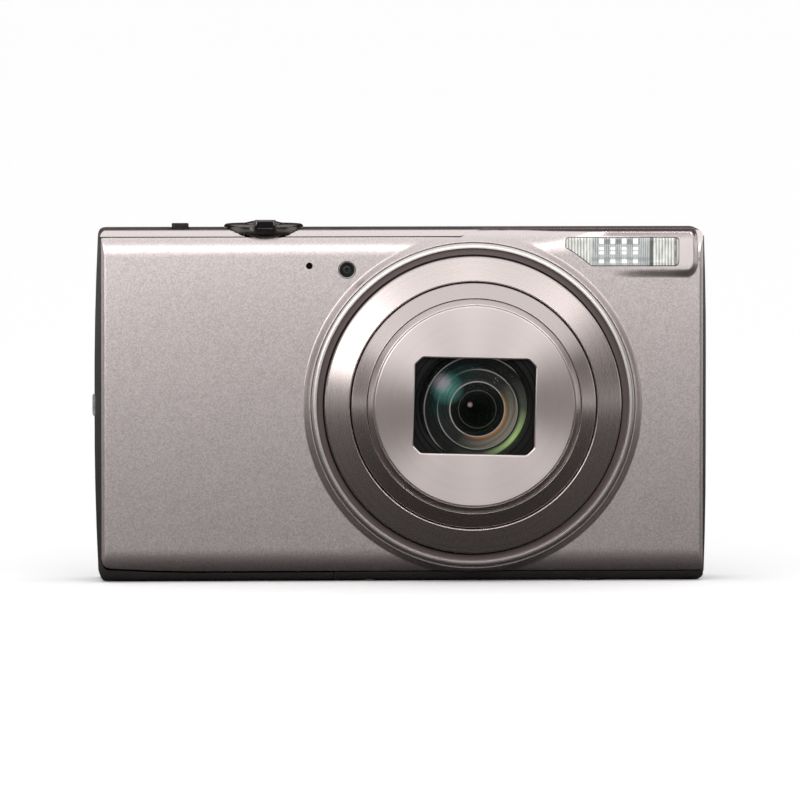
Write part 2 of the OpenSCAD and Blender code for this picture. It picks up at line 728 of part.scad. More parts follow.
module lamp_lens() color(glassy) about(lamp_x, lamp_z) polygon([
    [0, -y_front - 2.2], [lamp_r, -y_front - 2.2], [lamp_r, face_f - 0.1], [lamp_r - 0.2, face_f + 0.05],
    [lamp_r * 0.75, face_f + 0.05], [lamp_r * 0.6, face_f - 0.25], [0, face_f - 0.2]]);
module about(x, z) translate([x, 0, z]) rotate([90, 0, 0]) rotate_extrude() children();

module microphone() color(steel) pin_y(mic_x, mic_z, 2, y_front + wall, y_front + wall + 1.3);

// Top controls
module zoom_lever() color(chrome) {
    top = body_h + lever_h;
    about_lever() polygon(concat(
        [[hub_r, top - 0.5], [hub_r + 0.5, top]], arc([lever_r - 0.5, top - 0.5], 0.5, 90, 0, 6),
        [[lever_r, bowl_z + 0.9], [lever_r - 0.5, bowl_z + 0.3], [lever_r - 1.5, bowl_z],
        [hub_r + hub_wall, bowl_z], [hub_r + hub_wall, bowl_z - 1.7],
        [1.4, bowl_z - 1.7], [1.4, bowl_z - 1.1], [hub_r, bowl_z - 1.1]]));
    // Finger tab, which leans back to the ring
    translate([lever_x, lever_y - lever_r + 0.55, body_h + 0.15])
        hull() for (x = [-1, 1] * (tab_w / 2 - 0.6)) {
            translate([x, 0, 0]) cylinder(r = 0.6, h = lever_h + tab_h - 0.45, $fn = 32);
            translate([x, 1, 0]) cylinder(r = 0.6, h = lever_h, $fn = 32);
            translate([x, 0.1, 0]) cylinder(r = 0.4, h = lever_h + tab_h - 0.15, $fn = 32);
        }
}

module shutter_button() color(chrome) about_lever() {
    top = body_h + lever_h + 0.5;
    polygon(concat([[0, stem_z], [1.2, stem_z], [1.2, bowl_z + 1], [shutter_r, bowl_z + 1], [shutter_r, top - 0.7]],
        arc([shutter_r - 0.4, top - 0.7], 0.4, 0, 60, 4), [[shutter_r * 0.6, top - 0.08], [0, top]]));
}

module power_button() color(chrome) translate([power_x, lever_y, 0]) rotate_extrude() polygon([
    [0, ceiling - 1.6], [0.8, ceiling - 1.6], [0.8, ceiling - 0.8], [power_r + 0.5, ceiling - 0.8],
    [power_r + 0.5, ceiling - 0.3], [power_r, ceiling - 0.3], [power_r, deck_z + 0.05], [power_r - 0.2, deck_z + 0.2],
    [power_r * 0.7, deck_z + 0.2], [0, deck_z + 0.1]]);

module mode_switch() color(black) translate([mode_x, lever_y + 2, 0]) {
    along_z(deck_z + fit, body_h + mode_h) rounded(-mode_w / 2, -1.3, mode_w / 2, 1.3, 0.3);
    along_z(ceiling - 0.6, deck_z + fit) square([mode_w - 0.4, 1.4], center = true);
    along_z(ceiling - 0.6, ceiling - fit) square([mode_w + 4, 3.4], center = true);
}

module top_board() color(board) {
    block([-half_w + 5, y_front + 3.5, switch_z - 0.8], [speaker_x + 7, board_y - 0.5, switch_z]);
    pin_z(lever_x, lever_y, 1.3, switch_z, stem_z - shutter_travel - 0.05);
    pin_z(power_x, lever_y, 1, switch_z, ceiling - 1.6 - key_travel - 0.1);
    block([mode_x - 3, lever_y + 1, switch_z], [mode_x + 3, lever_y + 3, ceiling - 0.7]);
}

module speaker() color(black)
    pin_z(speaker_x, lever_y + 1.5, speaker_pitch * (speaker_holes - 1) / 2 + 0.8, switch_z, ceiling - fit);

// Back controls

module key(p, r, flange = 0.5) color(steel) about_key(p) polygon([
    [0, -dome_y - key_travel - 0.1], [0.8, -dome_y - key_travel - 0.1], [0.8, -y_rear + wall + 0.8],
    [r + flange, -y_rear + wall + 0.8], [r + flange, -y_rear + wall + 0.2], [r, -y_rear + wall + 0.2],
    [r, -y_rear - key_stand + 0.15], [r - 0.15, -y_rear - key_stand], [0, -y_rear - key_stand]]);
module about_key(p) translate([p[0], 0, p[1]]) rotate([90, 0, 0]) rotate_extrude() children();

module playback_button() key(key_places[0], key_r);
module menu_button() key(key_places[1], key_r);
module movie_button() key(key_places[2], key_r);
module info_button() key(key_places[3], key_r);
module set_button() key([pad_x, pad_z], pad_hole_r - 0.5, 0.2);

module nav_pad() color(steel) {
    about_key([pad_x, pad_z]) polygon([
        [pad_hole_r + 0.8, -y_rear + wall + 1.1], [pad_r + 0.8, -y_rear + wall + 1.1], [pad_r + 0.8, -y_rear + wall + 0.6],
        [pad_r, -y_rear + wall + 0.6], [pad_r, -y_rear - key_stand + 0.3], [pad_r - 0.3, -y_rear - key_stand],
        [pad_hole_r + 0.3, -y_rear - key_stand + 0.2], [pad_hole_r, -y_rear - key_stand + 0.5],
        [pad_hole_r, -y_rear + wall + 0.6], [pad_hole_r + 0.8, -y_rear + wall + 0.6]]);
    for (a = [0:90:270]) translate([pad_x, 0, pad_z]) rotate([0, a, 0])
        pin_y(pad_r - 1.3, 0, 0.5, dome_y + 0.45, y_rear - wall - 1);
}

// Rocker under the pad: its upper nubs let the pad tip sideways, its lower ones let both tip up and down
module nav_pivot() color(black) {
    r = pad_hole_r + 0.8;
    about_key([pad_x, pad_z]) translate([pad_hole_r + 0.3, -dome_y - 0.65]) square([1.1, 0.25]);
    for (s = [-1, 1]) {
        pin_y(pad_x, pad_z + s * r, 0.4, dome_y + 0.65, y_rear - wall - 1.15);
        pin_y(pad_x + s * r, pad_z, 0.4, keys_y + keys_t + 0.1, dome_y + 0.4);
    }
}

module status_lamp() color(glassy) pin_y(lamp_place[0], lamp_place[1], 0.6, y_rear - wall - 1, y_rear - 0.05);

module screen_glass() color(black) along_y(screen_y, screen_y + screen_t)
    rounded(screen_x0, screen_z0, screen_x1, screen_z1, 0.9);

module lcd_panel() color(steel)
    block([screen_x0 + 1.5, panel_y, screen_z0 + 1], [screen_x1 - 1.5, screen_y - fit / 2, screen_z1 - 1]);

module chassis() color(steel) {
    bay_w = (screen_x1 - screen_x0 - 10) / 3;
    bay_h = (screen_z1 - screen_z0 - 10) / 2;
    difference() {
        block([screen_x0 + 0.5, board_y + board_t + 0.15, screen_z0], [screen_x1, panel_y - 0.1, screen_z1]);
        for (i = [0:2], j = [0:1]) {
            x = screen_x0 + 5 + bay_w * i;
            z = screen_z0 + 5 + bay_h * j;
            block([x + 2, -far, z + 2], [x + bay_w - 2, far, z + bay_h - 2]);
        }
    }
    block([tripod_x - 6, board_y + board_t + 0.15, screen_z0 - 2], [tripod_x + 6, panel_y - 0.1, screen_z0]);
}

module control_board() color(board) {
    block([-half_w + 2.4, keys_y, 4], [screen_x0 - 0.6, keys_y + keys_t, screen_z1 - 0.1]);
    for (p = concat(key_places, [[pad_x, pad_z]])) pin_y(p[0], p[1], 1.4, keys_y + keys_t, dome_y);
    for (a = [0:90:270]) translate([pad_x, 0, pad_z]) rotate([0, a, 0])
        pin_y(pad_r - 1.3, 0, 1, keys_y + keys_t, dome_y);
}

module main_board() color(board) {
    block([card_x0 - 0.6, board_y, 8], [half_w - wall - 0.8, board_y + board_t, switch_z - 1.2]);
    for (p = [[-8, 14], [8, 14], [25, 12]])
        block([p[0], board_y - 0.5, p[1] - 4], [p[0] + 8, board_y, p[1] + 4]);
}

// Battery, card and door
module battery() color(black) difference() {
    block([battery_x0, battery_y0, battery_z0],
        [battery_x0 + battery_w, battery_y0 + battery_t, battery_z0 + battery_h]);
    for (i = [0:2]) block([battery_x0 + 3 + 3 * i, battery_y0 + 1.5, battery_z0 + battery_h - 0.4],
        [battery_x0 + 5 + 3 * i, battery_y0 + battery_t - 1.5, far]);
}

module battery_box() color(graphite) difference() {
    block([battery_x0 - box_wall, battery_y0 - box_wall, battery_z0 - 0.5],
        [battery_x0 + battery_w + box_wall + fit, battery_y0 + battery_t + box_wall, battery_z0 + battery_h + 1]);
    block([battery_x0 - fit, battery_y0 - fit, 0],
        [battery_x0 + battery_w + fit, battery_y0 + battery_t + fit, battery_z0 + battery_h + fit]);
    // Room for the latch and for the lens unit
    block([battery_x0 + battery_w - 2, battery_y0 + 1.4, -1], [far, battery_y0 + battery_t - 1, 12]);
    pin_y(lens_x, lens_z, ring_r + 1.1, -far, -cam_f + 3);
}

module battery_latch() color(chrome) {
    x = battery_x0 + battery_w;
    y = battery_y0 + battery_t - 1.2;
    block([x - 1, battery_y0 + 1.6, battery_z0 - 1], [x + 0.8, y, battery_z0 - fit]);
    block([x + fit, battery_y0 + 1.6, battery_z0 - fit], [x + 0.8, y, 11]);
}

module card_slot() color(steel) difference() {
    block([card_x0 - 0.7, card_y0 - 0.3, card_z0 + 2], [card_x0 + card_w + 0.7, board_y, card_z0 + card_h + 1.4]);
    block([card_x0 - fit, card_y0 - fit, 0], [card_x0 + card_w + fit, far, card_z0 + card_h + fit]);
    block([card_x0 + 4, -far, 0], [card_x0 + card_w - 4, card_y0, 20]);
}

module memory_card() color(black) along_y(card_y0, card_y0 + card_t) polygon([
    [card_x0, card_z0], [card_x0 + card_w, card_z0], [card_x0 + card_w, card_z0 + card_h - 4],
    [card_x0 + card_w - 4, card_z0 + card_h], [card_x0, card_z0 + card_h]]);

module battery_door() color(graphite) difference() {
    union() {
        intersection() {
            shell();
            along_z(-1, far) plan_profile(base_inset);
            along_y(-far, door_y) below_base(fit);
            block([-far, -far, 0.15], [door_end, door_y, far]);
            union() {
                block([-far, -far, -1], [far, door_y - 0.3, door_z + knuckle_r * 0.6]);
                block([-far, -far, -1], [far, door_y - knuckle_r - 0.5, far]);
            }
        }
        intersection() {
            pin_x(door_y, door_z, knuckle_r, -half_w + 0.6, door_end);
            block([-far, -far, 0.15], [far, far, far]);
        }
    }
    pin_x(door_y, door_z, door_pin_r + fit / 2, -half_w + 1.2, far);
    // Room for the fixed lug, also once the door has slid
    block([door_lug_x - fit, door_y - 1.4, -1], [door_lug_x + 2 + door_travel + fit, far, far]);
}

module door_hinge_pin() color(steel) pin_x(door_y, door_z, door_pin_r, -half_w + 1.4, door_end + 3.2);

// Base and sides
module tripod_socket() color(brass) difference() {
    pin_z(tripod_x, tripod_y, tripod_r + tripod_wall, 0, tripod_d + 1);
    pin_z(tripod_x, tripod_y, tripod_r, -1, tripod_d);
}

module screw(p, gap) translate([p[0], p[1], 0]) {
    translate([0, 0, 0.1 - 5 * gap]) cylinder(r = 1.1 + gap, h = 0.5 + 5 * gap);
    cylinder(r = 0.6 + gap, h = 2.4);
}
module screws() color(steel) for (p = screw_places) difference() {
    translate([0, 0, 0]) union() {
        translate([p[0], p[1], 0.1]) cylinder(r = 1.1, h = 0.5);
        translate([p[0], p[1], 0.6]) cylinder(r = 0.6, h = 1.8);
    }
    translate([p[0] - 0.7, p[1] - 0.12, 0]) cube([1.4, 0.24, 0.35]);
    translate([p[0] - 0.12, p[1] - 0.7, 0]) cube([0.24, 1.4, 0.35]);
}

module strap_lug() color(steel) along_y(lug_y - 0.9, lug_y + 0.9) difference() {
    rounded(-half_w - side_bulge - lug_stand, lug_z - lug_h / 2 + fit, lug_back, lug_z + lug_h / 2 - fit, 0.4);
    translate([-half_w - side_bulge - lug_stand + 0.7, lug_z - lug_h / 2 + 0.8]) square([1, lug_h - 1.6]);
}

module terminal_cover() color(graphite) {
    intersection() {
        shell();
        block([half_w - 2, port_y0, port_z0], [far, port_y, port_z0 + port_h]);
    }
    intersection() {
        body_form(0);
        pin_z(port_x, port_y, port_hinge_r, port_z0, port_z0 + port_h);
    }
    pin_z(port_x, port_y, 0.3, port_z0 - 0.6, port_z0 + port_h + 0.6);
}

module sockets() color(steel) for (s = [[port_z0 + 2, 7.5], [port_z0 + 12, 6.4]]) difference() {
    block([half_w - 7.4, board_y - 2.9, s[0]], [half_w - wall - 0.2, board_y, s[0] + s[1]]);
    block([half_w - 6.4, board_y - 2.5, s[0] + 0.4], [far, board_y - 0.4, s[0] + s[1] - 0.4]);
    block([half_w - 7, board_y - 1.9, s[0] + 1.2], [half_w - 6.4, board_y - 1, s[0] + s[1] - 1.2]);
}

front_cover();
rear_cover();
top_cover();
bottom_cover();
side_band_left();
side_band_right();
lens_bezel();
lens_ring_fixed();
cam_barrel();
lens_base();
barrel_1();
barrel_2();
front_plate();
barrier_upper_inner();
barrier_upper_outer();
barrier_lower_inner();
barrier_lower_outer();
front_lens_holder();
front_glass();
iris_unit();
second_glass();
image_sensor();
zoom_motor();
flash_window();
flash_reflector();
flash_tube();
flash_capacitor();
lamp_lens();
microphone();
zoom_lever();
shutter_button();
power_button();
mode_switch();
top_board();
speaker();
playback_button();
movie_button();
menu_button();
info_button();
nav_pivot();
nav_pad();
set_button();
status_lamp();
screen_glass();
lcd_panel();
chassis();
control_board();
main_board();
battery_box();
battery();
card_slot();
memory_card();
battery_latch();
battery_door();
door_hinge_pin();
terminal_cover();
sockets();
tripod_socket();
strap_lug();
screws();
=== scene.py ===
import json
import math

import bmesh
import bpy
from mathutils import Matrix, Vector
from mathutils.bvhtree import BVHTree
from mathutils.geometry import delaunay_2d_cdt

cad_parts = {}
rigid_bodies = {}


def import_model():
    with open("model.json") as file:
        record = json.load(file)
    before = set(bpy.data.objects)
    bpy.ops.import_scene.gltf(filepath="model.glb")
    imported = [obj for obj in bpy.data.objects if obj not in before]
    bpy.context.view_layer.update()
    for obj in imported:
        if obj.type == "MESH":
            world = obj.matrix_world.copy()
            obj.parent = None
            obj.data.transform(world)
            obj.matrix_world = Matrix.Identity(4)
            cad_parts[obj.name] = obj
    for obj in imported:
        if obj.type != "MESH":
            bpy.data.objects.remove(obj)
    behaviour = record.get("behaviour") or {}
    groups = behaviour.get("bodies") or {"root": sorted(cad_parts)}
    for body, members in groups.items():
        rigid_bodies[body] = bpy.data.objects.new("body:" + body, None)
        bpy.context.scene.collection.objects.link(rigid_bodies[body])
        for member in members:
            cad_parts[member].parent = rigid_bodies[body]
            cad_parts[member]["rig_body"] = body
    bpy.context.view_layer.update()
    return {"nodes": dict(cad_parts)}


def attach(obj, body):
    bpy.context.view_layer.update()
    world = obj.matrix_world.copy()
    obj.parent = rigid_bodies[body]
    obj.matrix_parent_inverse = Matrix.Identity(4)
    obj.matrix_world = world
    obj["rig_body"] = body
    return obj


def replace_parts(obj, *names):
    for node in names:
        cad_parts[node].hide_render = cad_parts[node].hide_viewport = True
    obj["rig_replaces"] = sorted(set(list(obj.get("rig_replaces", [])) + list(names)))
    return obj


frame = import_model()
scene = bpy.context.scene


# The camera: a long lens, a little to the left of the object and a little above it, as the
# photograph shows by the strip of side wall at the left and the strip of deck at the top.
CAMERA_LEFT = 3.0
CAMERA_UP = 3.0
CAMERA_DISTANCE = 1.8
CAMERA_AIM = Vector((-0.00016, 0, 0.02928))
CAMERA_LENS = 498.0
PICTURE = 800

camera_data = bpy.data.cameras.new("camera")
camera_data.lens = CAMERA_LENS
camera_data.sensor_width = 36
camera_data.sensor_fit = "AUTO"
camera_data.clip_start = 0.1
camera_data.clip_end = 100
camera = bpy.data.objects.new("camera", camera_data)
side, rise = math.radians(CAMERA_LEFT), math.radians(CAMERA_UP)
outward = Vector((-math.sin(side) * math.cos(rise), -math.cos(side) * math.cos(rise), math.sin(rise)))
camera.location = CAMERA_AIM + CAMERA_DISTANCE * outward
camera.rotation_euler = outward.to_track_quat("Z", "Y").to_euler()
scene.collection.objects.link(camera)
scene.camera = camera
bpy.context.view_layer.update()

# Where things lie in the photograph, in its pixels: x alone, y alone, or both.
points = {
    "left edge": (94.7, None),
    "right edge": (707.4, None),
    "top edge": (None, 227.0),
    "bottom edge": (None, 581.0),
    "bezel": (473.2, 405.0),
    "front plate": (474.9, 406.6),
    "front glass": (477.2, 409.2),
    "microphone": (309.3, 265.6),
    "lamp": (347.1, 269.5),
    "flash window": (622.9, 252.0),
    "strap lug": (93.8, 404.8),
    "finger tab": (262.8, 224.6),
    "mode knob": (180.3, 226.6),
}


def ray_through(x, y):
    """Start and direction of the sight line through a pixel of the square picture."""
    aim = Vector((x - PICTURE / 2 + camera_data.shift_x * PICTURE,
                  PICTURE / 2 - y + camera_data.shift_y * PICTURE,
                  -PICTURE * camera_data.lens / camera_data.sensor_width))
    return camera.matrix_world.translation, (camera.matrix_world.to_3x3() @ aim).normalized()


def placed_on(carrier, x, y):
    """Where the sight line through a pixel meets a finished piece, or the piece's place
    nearest to that line where it passes by."""
    bpy.context.view_layer.update()
    shape = bmesh.new()
    shape.from_mesh(carrier.data)
    shape.transform(carrier.matrix_world)
    tree = BVHTree.FromBMesh(shape)
    start, along = ray_through(x, y)
    spot = tree.ray_cast(start, along)[0]
    if spot is None:
        spot = sum((v.co for v in shape.verts), Vector()) / len(shape.verts)
        for _ in range(6):
            spot = tree.find_nearest(start + along * (spot - start).dot(along))[0]
    shape.free()
    return spot


def pixel_of(place):
    """Pixel of the picture in which a place shows."""
    seen = camera.matrix_world.inverted() @ Vector(place)
    scale = PICTURE * CAMERA_LENS / camera_data.sensor_width / -seen.z
    return PICTURE / 2 + seen.x * scale, PICTURE / 2 - seen.y * scale


# The studio: a pale sweep, one broad soft light over the front with a helper at its left, and
# three small boxes high up, whose light makes the bright wedges on the turned rings. The sweep
# is dull to mirrors, and the sky is white to the camera but dim at the horizon for the object.
class Wire:
    """A shader socket that takes part in sums, so that 1 - mask adds a Math node."""

    def __init__(self, tree, socket=None):
        self.tree, self.socket = tree, socket

    def add(self, kind, settings=None, values=None, out=0):
        """Adds a node: its type, then its settings, then the values or links of its sockets."""
        node = self.tree.nodes.new("ShaderNode" + kind)
        for key, value in (settings or {}).items():
            if key == "stops":
                ramp = node.color_ramp
                while len(ramp.elements) < len(value):
                    ramp.elements.new(1)
                for stop, (place, colour) in zip(ramp.elements, value):
                    stop.position = place
                    stop.color = colour
            else:
                setattr(node, key, value)
        for key, value in (values or {}).items():
            if isinstance(value, Wire):
                self.tree.links.new(value.socket, node.inputs[key])
            else:
                node.inputs[key].default_value = value
        return Wire(self.tree, node.outputs[out] if len(node.outputs) else None)

    def maths(self, operation, *terms):
        return self.add("Math", {"operation": operation}, dict(enumerate(terms)))

    def __add__(self, other):
        return self.maths("ADD", self, other)

    def __sub__(self, other):
        return self.maths("SUBTRACT", self, other)

    def __rsub__(self, other):
        return self.maths("SUBTRACT", other, self)

    def __mul__(self, other):
        return self.maths("MULTIPLY", self, other)

    def __truediv__(self, other):
        return self.maths("DIVIDE", self, other)

    def __rtruediv__(self, other):
        return self.maths("DIVIDE", other, self)

    __radd__, __rmul__ = __add__, __mul__

    def over(self, low, high):
        """0 below low, 1 above high, and an even slope between."""
        return self.add("MapRange", {"clamp": True}, {0: self, 1: low, 2: high, 3: 0.0, 4: 1.0})

    def band(self, start, full, fade, end):
        """0 outside start and end, 1 from full to fade, and even slopes between."""
        return self.over(start, full) * (1 - self.over(fade, end))

    def near(self, middle, full, end):
        """1 closer to the middle than full, 0 farther from it than end."""
        return 1 - self.maths("ABSOLUTE", self - middle).over(full, end)

    def mixed(self, first, second):
        """The colour between two, by this mask."""
        return self.add("Mix", {"data_type": "RGBA"}, {0: self, 6: first, 7: second}, out=2)


def tone(red, green=None, blue=None):
    """A colour socket's value, from one grey or three parts."""
    return (red, red if green is None else green, red if blue is None else blue, 1)


def finish(name):
    """A new material and the wire that its nodes hang on."""
    material = bpy.data.materials.new(name)
    material.use_nodes = True
    material.node_tree.nodes.clear()
    return material, Wire(material.node_tree)


def surface(wire, values, bump=None, depth=0.00002):
    """Closes a material with one shader, and with a bump where a height is given."""
    if bump is not None:
        values = dict(values)
        values["Normal"] = wire.add("Bump", None, {"Height": bump, "Distance": depth, "Strength": 1.0})
    shader = wire.add("BsdfPrincipled", None, values)
    wire.add("OutputMaterial", None, {"Surface": shader})


LENS_MIDDLE, OVER_LENS = (0.011, 0, 0.029), (-0.03, 0, 0.055)
for name, place, aim, size, power in (
        ("front panel", (-0.03, -0.25, 0.108), OVER_LENS, (0.42, 0.105), 0.25),
        ("left helper", (-0.135, -0.25, 0.1), (-0.07, 0, 0.055), (0.12, 0.08), 0.075),
        ("upper left box", (-0.105, -0.435, 0.145), LENS_MIDDLE, (0.036, 0.036), 0.05),
        ("upper right box", (0.165, -0.43, 0.145), LENS_MIDDLE, (0.036, 0.036), 0.07),
        ("upper middle box", (0.03, -0.41, 0.21), LENS_MIDDLE, (0.03, 0.03), 0.045)):
    light = bpy.data.lights.new(name, "AREA")
    light.shape = "RECTANGLE"
    light.size, light.size_y = size
    light.energy = power
    lamp = bpy.data.objects.new(name, light)
    lamp.location = place
    lamp.rotation_euler = (Vector(place) - Vector(aim)).to_track_quat("Z", "Y").to_euler()
    lamp.visible_camera = False
    scene.collection.objects.link(lamp)

sky = bpy.data.worlds.new("sky")
sky.use_nodes = True
sky.node_tree.nodes.clear()
wire = Wire(sky.node_tree)
way = wire.add("TexCoord", out=0)
across, ahead, height = (wire.add("SeparateXYZ", None, {0: way}, out=i) for i in range(3))
above = height - ahead.over(-0.1, 0.3) * 0.2
overhead = above.over(0.27, 0.5) * 1.15 + above.over(0.6, 0.85) * 0.7
beside = wire.maths("ABSOLUTE", across).over(0.90, 0.98) * 0.9
glow = wire.maths("MAXIMUM", wire.maths("MAXIMUM", overhead, beside), 0.035)
studio = wire.add("Background", None, {"Color": glow.mixed(tone(0.028, 0.006, 0.004), tone(1))})
white = wire.add("Background", None, {"Color": tone(1), "Strength": 1.08})
mirrored = wire.add("LightPath", out="Is Glossy Ray")
wire.add("OutputWorld", None, {0: wire.add("MixShader", None, {0: mirrored, 1: white, 2: studio})})
scene.world = sky

floor_data = bpy.data.meshes.new("floor")
floor_data.from_pydata([(-30, -30, 0), (30, -30, 0), (30, 30, 0), (-30, 30, 0)], [], [(0, 1, 2, 3)])
floor = bpy.data.objects.new("floor", floor_data)
scene.collection.objects.link(floor)
floor_material, wire = finish("pale sweep")
glossy = wire.add("LightPath", out="Is Glossy Ray")
across = wire.add("SeparateXYZ", None, {0: wire.add("TexCoord", out="Object")}, out=0)
far = wire.maths("ABSOLUTE", across).over(0.46, 0.52)
mirrored = far.mixed(tone(0.012, 0.006, 0.005), tone(0.85))
surface(wire, {"Base Color": glossy.mixed(tone(0.94), mirrored), "Roughness": 0.9})
floor_data.materials.append(floor_material)


# The chassis: one pressed steel sheet behind the lens, with bays behind the screen. The card
# cage, the sockets and the screen's back are of the same bright plated steel, which shows faint
# rolling lines along its length.
def dress(material, *nodes):
    """Gives CAD pieces their finish."""
    for node in nodes:
        slots = frame["nodes"][node].data.materials
        for i in range(len(slots)):
            slots[i] = material


def coordinate(wire, axis, scale=1000):
    """Place on the piece along one of its own axes, in millimetres."""
    return wire.add("SeparateXYZ", None, {0: wire.add("TexCoord", out="Object")}, out=axis) * scale


def mottle(wire, size, detail=2, stretch=(1, 1, 1)):
    """Even cloudiness from 0 to 1, with blotches of about this size in metres."""
    place = wire.add("TexCoord", out="Object")
    spread = wire.add("VectorMath", {"operation": "MULTIPLY"}, {0: place, 1: stretch})
    return wire.add("TexNoise", None, {"Vector": spread, "Scale": 1 / size, "Detail": detail})


def grained(name, grain, dark, light, dull, swing, depth=0.0, metal=1.0, shine=0.5, detail=2,
            stretch=(1, 1, 1), contrast=(0.0, 1.0)):
    """A finish in which one fine grain, of this size in metres, sways the colour from dark to
    light and the dullness by swing, and stands out by a depth in metres."""
    material, wire = finish(name)
    fine = mottle(wire, grain, detail, stretch)
    surface(wire, {"Base Color": fine.over(*contrast).mixed(tone(*dark), tone(*light)), "Metallic": metal,
                   "Roughness": dull + fine * swing, "Specular IOR Level": shine},
            fine if depth else None, depth)
    return material


STRONG = (0.3, 0.7)
steel_sheet = grained("plated steel sheet", 0.0004, (0.46, 0.46, 0.45), (0.66, 0.66, 0.64), 0.22, 0.2,
                      0.000004, detail=3, stretch=(0.05, 1, 1), contrast=STRONG)
dress(steel_sheet, "chassis", "card_slot", "sockets", "lcd_panel", "microphone")


# The circuit boards: glass-fibre sheet under green solder mask, with copper tracks that show
# as darker lines and small gold pads. The image sensor's carrier is made the same way.
solder_mask, wire = finish("green solder mask")
place = wire.add("TexCoord", out="Object")
upright = wire.add("Mapping", None, {"Vector": place, "Rotation": (math.radians(90), 0, 0)})
tracks = wire.add("TexBrick", {"offset": 0.37, "squash": 0.6},
                  {"Vector": upright, "Scale": 240.0, "Mortar Size": 0.035, "Mortar Smooth": 0.2}, out="Fac")
pads = wire.add("TexVoronoi", {"feature": "F1", "distance": "CHEBYCHEV"},
                {"Vector": place, "Scale": 600.0}, out="Distance")
gold = 1 - pads.over(0.16, 0.20)
green = tracks.mixed(tone(0.012, 0.10, 0.045), tone(0.02, 0.16, 0.07))
surface(wire, {"Base Color": gold.mixed(green, tone(0.75, 0.56, 0.22)), "Metallic": gold,
               "Roughness": 0.42 - gold * 0.15}, tracks + gold, 0.00003)
dress(solder_mask, "main_board", "control_board", "top_board", "image_sensor")


# The battery in its moulded box, the memory card, the capacitor and the speaker: plastic
# sleeves and shells with the fine dull grain of an injection mould.
def moulded(name, dark, light, dull, grain=0.00012, depth=0.000006):
    """Moulded plastic, with a fine even grain and slightly uneven colour."""
    material, wire = finish(name)
    fine = mottle(wire, grain)
    broad = mottle(wire, 0.006, 3)
    shade = (fine * 0.6 + broad * 0.4).over(*STRONG)
    surface(wire, {"Base Color": shade.mixed(tone(*dark), tone(*light)),
                   "Roughness": dull - 0.05 + broad * 0.1}, fine, depth)
    return material


inner_plastic = moulded("black inner plastic", (0.012, 0.012, 0.013), (0.022, 0.022, 0.023), 0.55)
grey_plastic = moulded("grey box plastic", (0.05, 0.05, 0.052), (0.075, 0.075, 0.078), 0.5)
sleeve = moulded("battery sleeve", (0.016, 0.017, 0.02), (0.03, 0.031, 0.036), 0.38)
card_shell = moulded("card plastic", (0.012, 0.02, 0.05), (0.02, 0.032, 0.075), 0.4)
dress(grey_plastic, "battery_box")
dress(sleeve, "battery", "flash_capacitor")
dress(card_shell, "memory_card")
dress(inner_plastic, "speaker")


# The lens unit's base and cam barrel: black glass-filled plastic, moulded and screwed to the
# chassis, as is the iris unit. The zoom motor's case, the battery latch, the hinge pin and the
# screws are of bright steel.
dress(inner_plastic, "lens_base", "cam_barrel", "iris_unit")
turned_steel = grained("turned steel", 0.0002, (0.5, 0.5, 0.5), (0.68, 0.68, 0.68), 0.2, 0.15, 0.000003,
                       stretch=(1, 0.1, 1), contrast=STRONG)
dress(turned_steel, "zoom_motor", "battery_latch", "door_hinge_pin", "screws")


# The lens barrels: aluminium turned on a lathe, then anodised to a warm silver. The fine
# grooves of the tool run round the axis, so each cone shows bright wedges under the light.
# The fixed ring is glued to the cam barrel, and the two barrels slide out through it.
LENS_X, LENS_Z = LENS = (11.35, 28.8)
millimetre = 0.001


EASE_STEPS, SHARP_BEND = 5, math.radians(18)


def bent(start, middle, end, t):
    """A place on the curve that runs from start to end and is drawn to the middle."""
    return start * (1 - t) ** 2 + middle * 2 * t * (1 - t) + end * t * t


def eased(stations, ease):
    """Rounds the corners of a closed or open run of stations; gives places and normals."""
    closed = stations[0] == stations[-1]
    run = [Vector(p) for p in (stations[:-1] if closed else stations)]
    count = len(run)
    placed = []
    for i, here in enumerate(run):
        if not closed and i in (0, count - 1):
            along = (run[1] - here) if i == 0 else (here - run[-2])
            placed.append((here, Vector((along.y, -along.x)).normalized()))
            continue
        back, on = here - run[i - 1], run[(i + 1) % count] - here
        before, after = (Vector((v.y, -v.x)).normalized() for v in (back, on))
        if before.angle(after, 0) < SHARP_BEND:
            placed.append((here, (before + after).normalized()))
            continue
        cut = min(ease, back.length * 0.45, on.length * 0.45)
        start, end = here - back.normalized() * cut, here + on.normalized() * cut
        for t in (k / EASE_STEPS for k in range(EASE_STEPS + 1)):
            placed.append((bent(start, here, end, t), (before * (1 - t) + after * t).normalized()))
    return placed, closed


def piece_of(name, mesh, body, nodes, material):
    """Puts a finished mesh in the scene as the piece that stands for some CAD nodes."""
    mesh.materials.append(material)
    piece = bpy.data.objects.new(name, mesh)
    scene.collection.objects.link(piece)
    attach(piece, body)
    if nodes:
        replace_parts(piece, *nodes)
    return piece


def faced(piece, axis=LENS):
    """Turns a piece whose own Z is its axis to face forward, with the axis at this place."""
    piece.location = (axis[0] * millimetre, 0, axis[1] * millimetre)
    piece.rotation_euler = (math.radians(90), 0, 0)


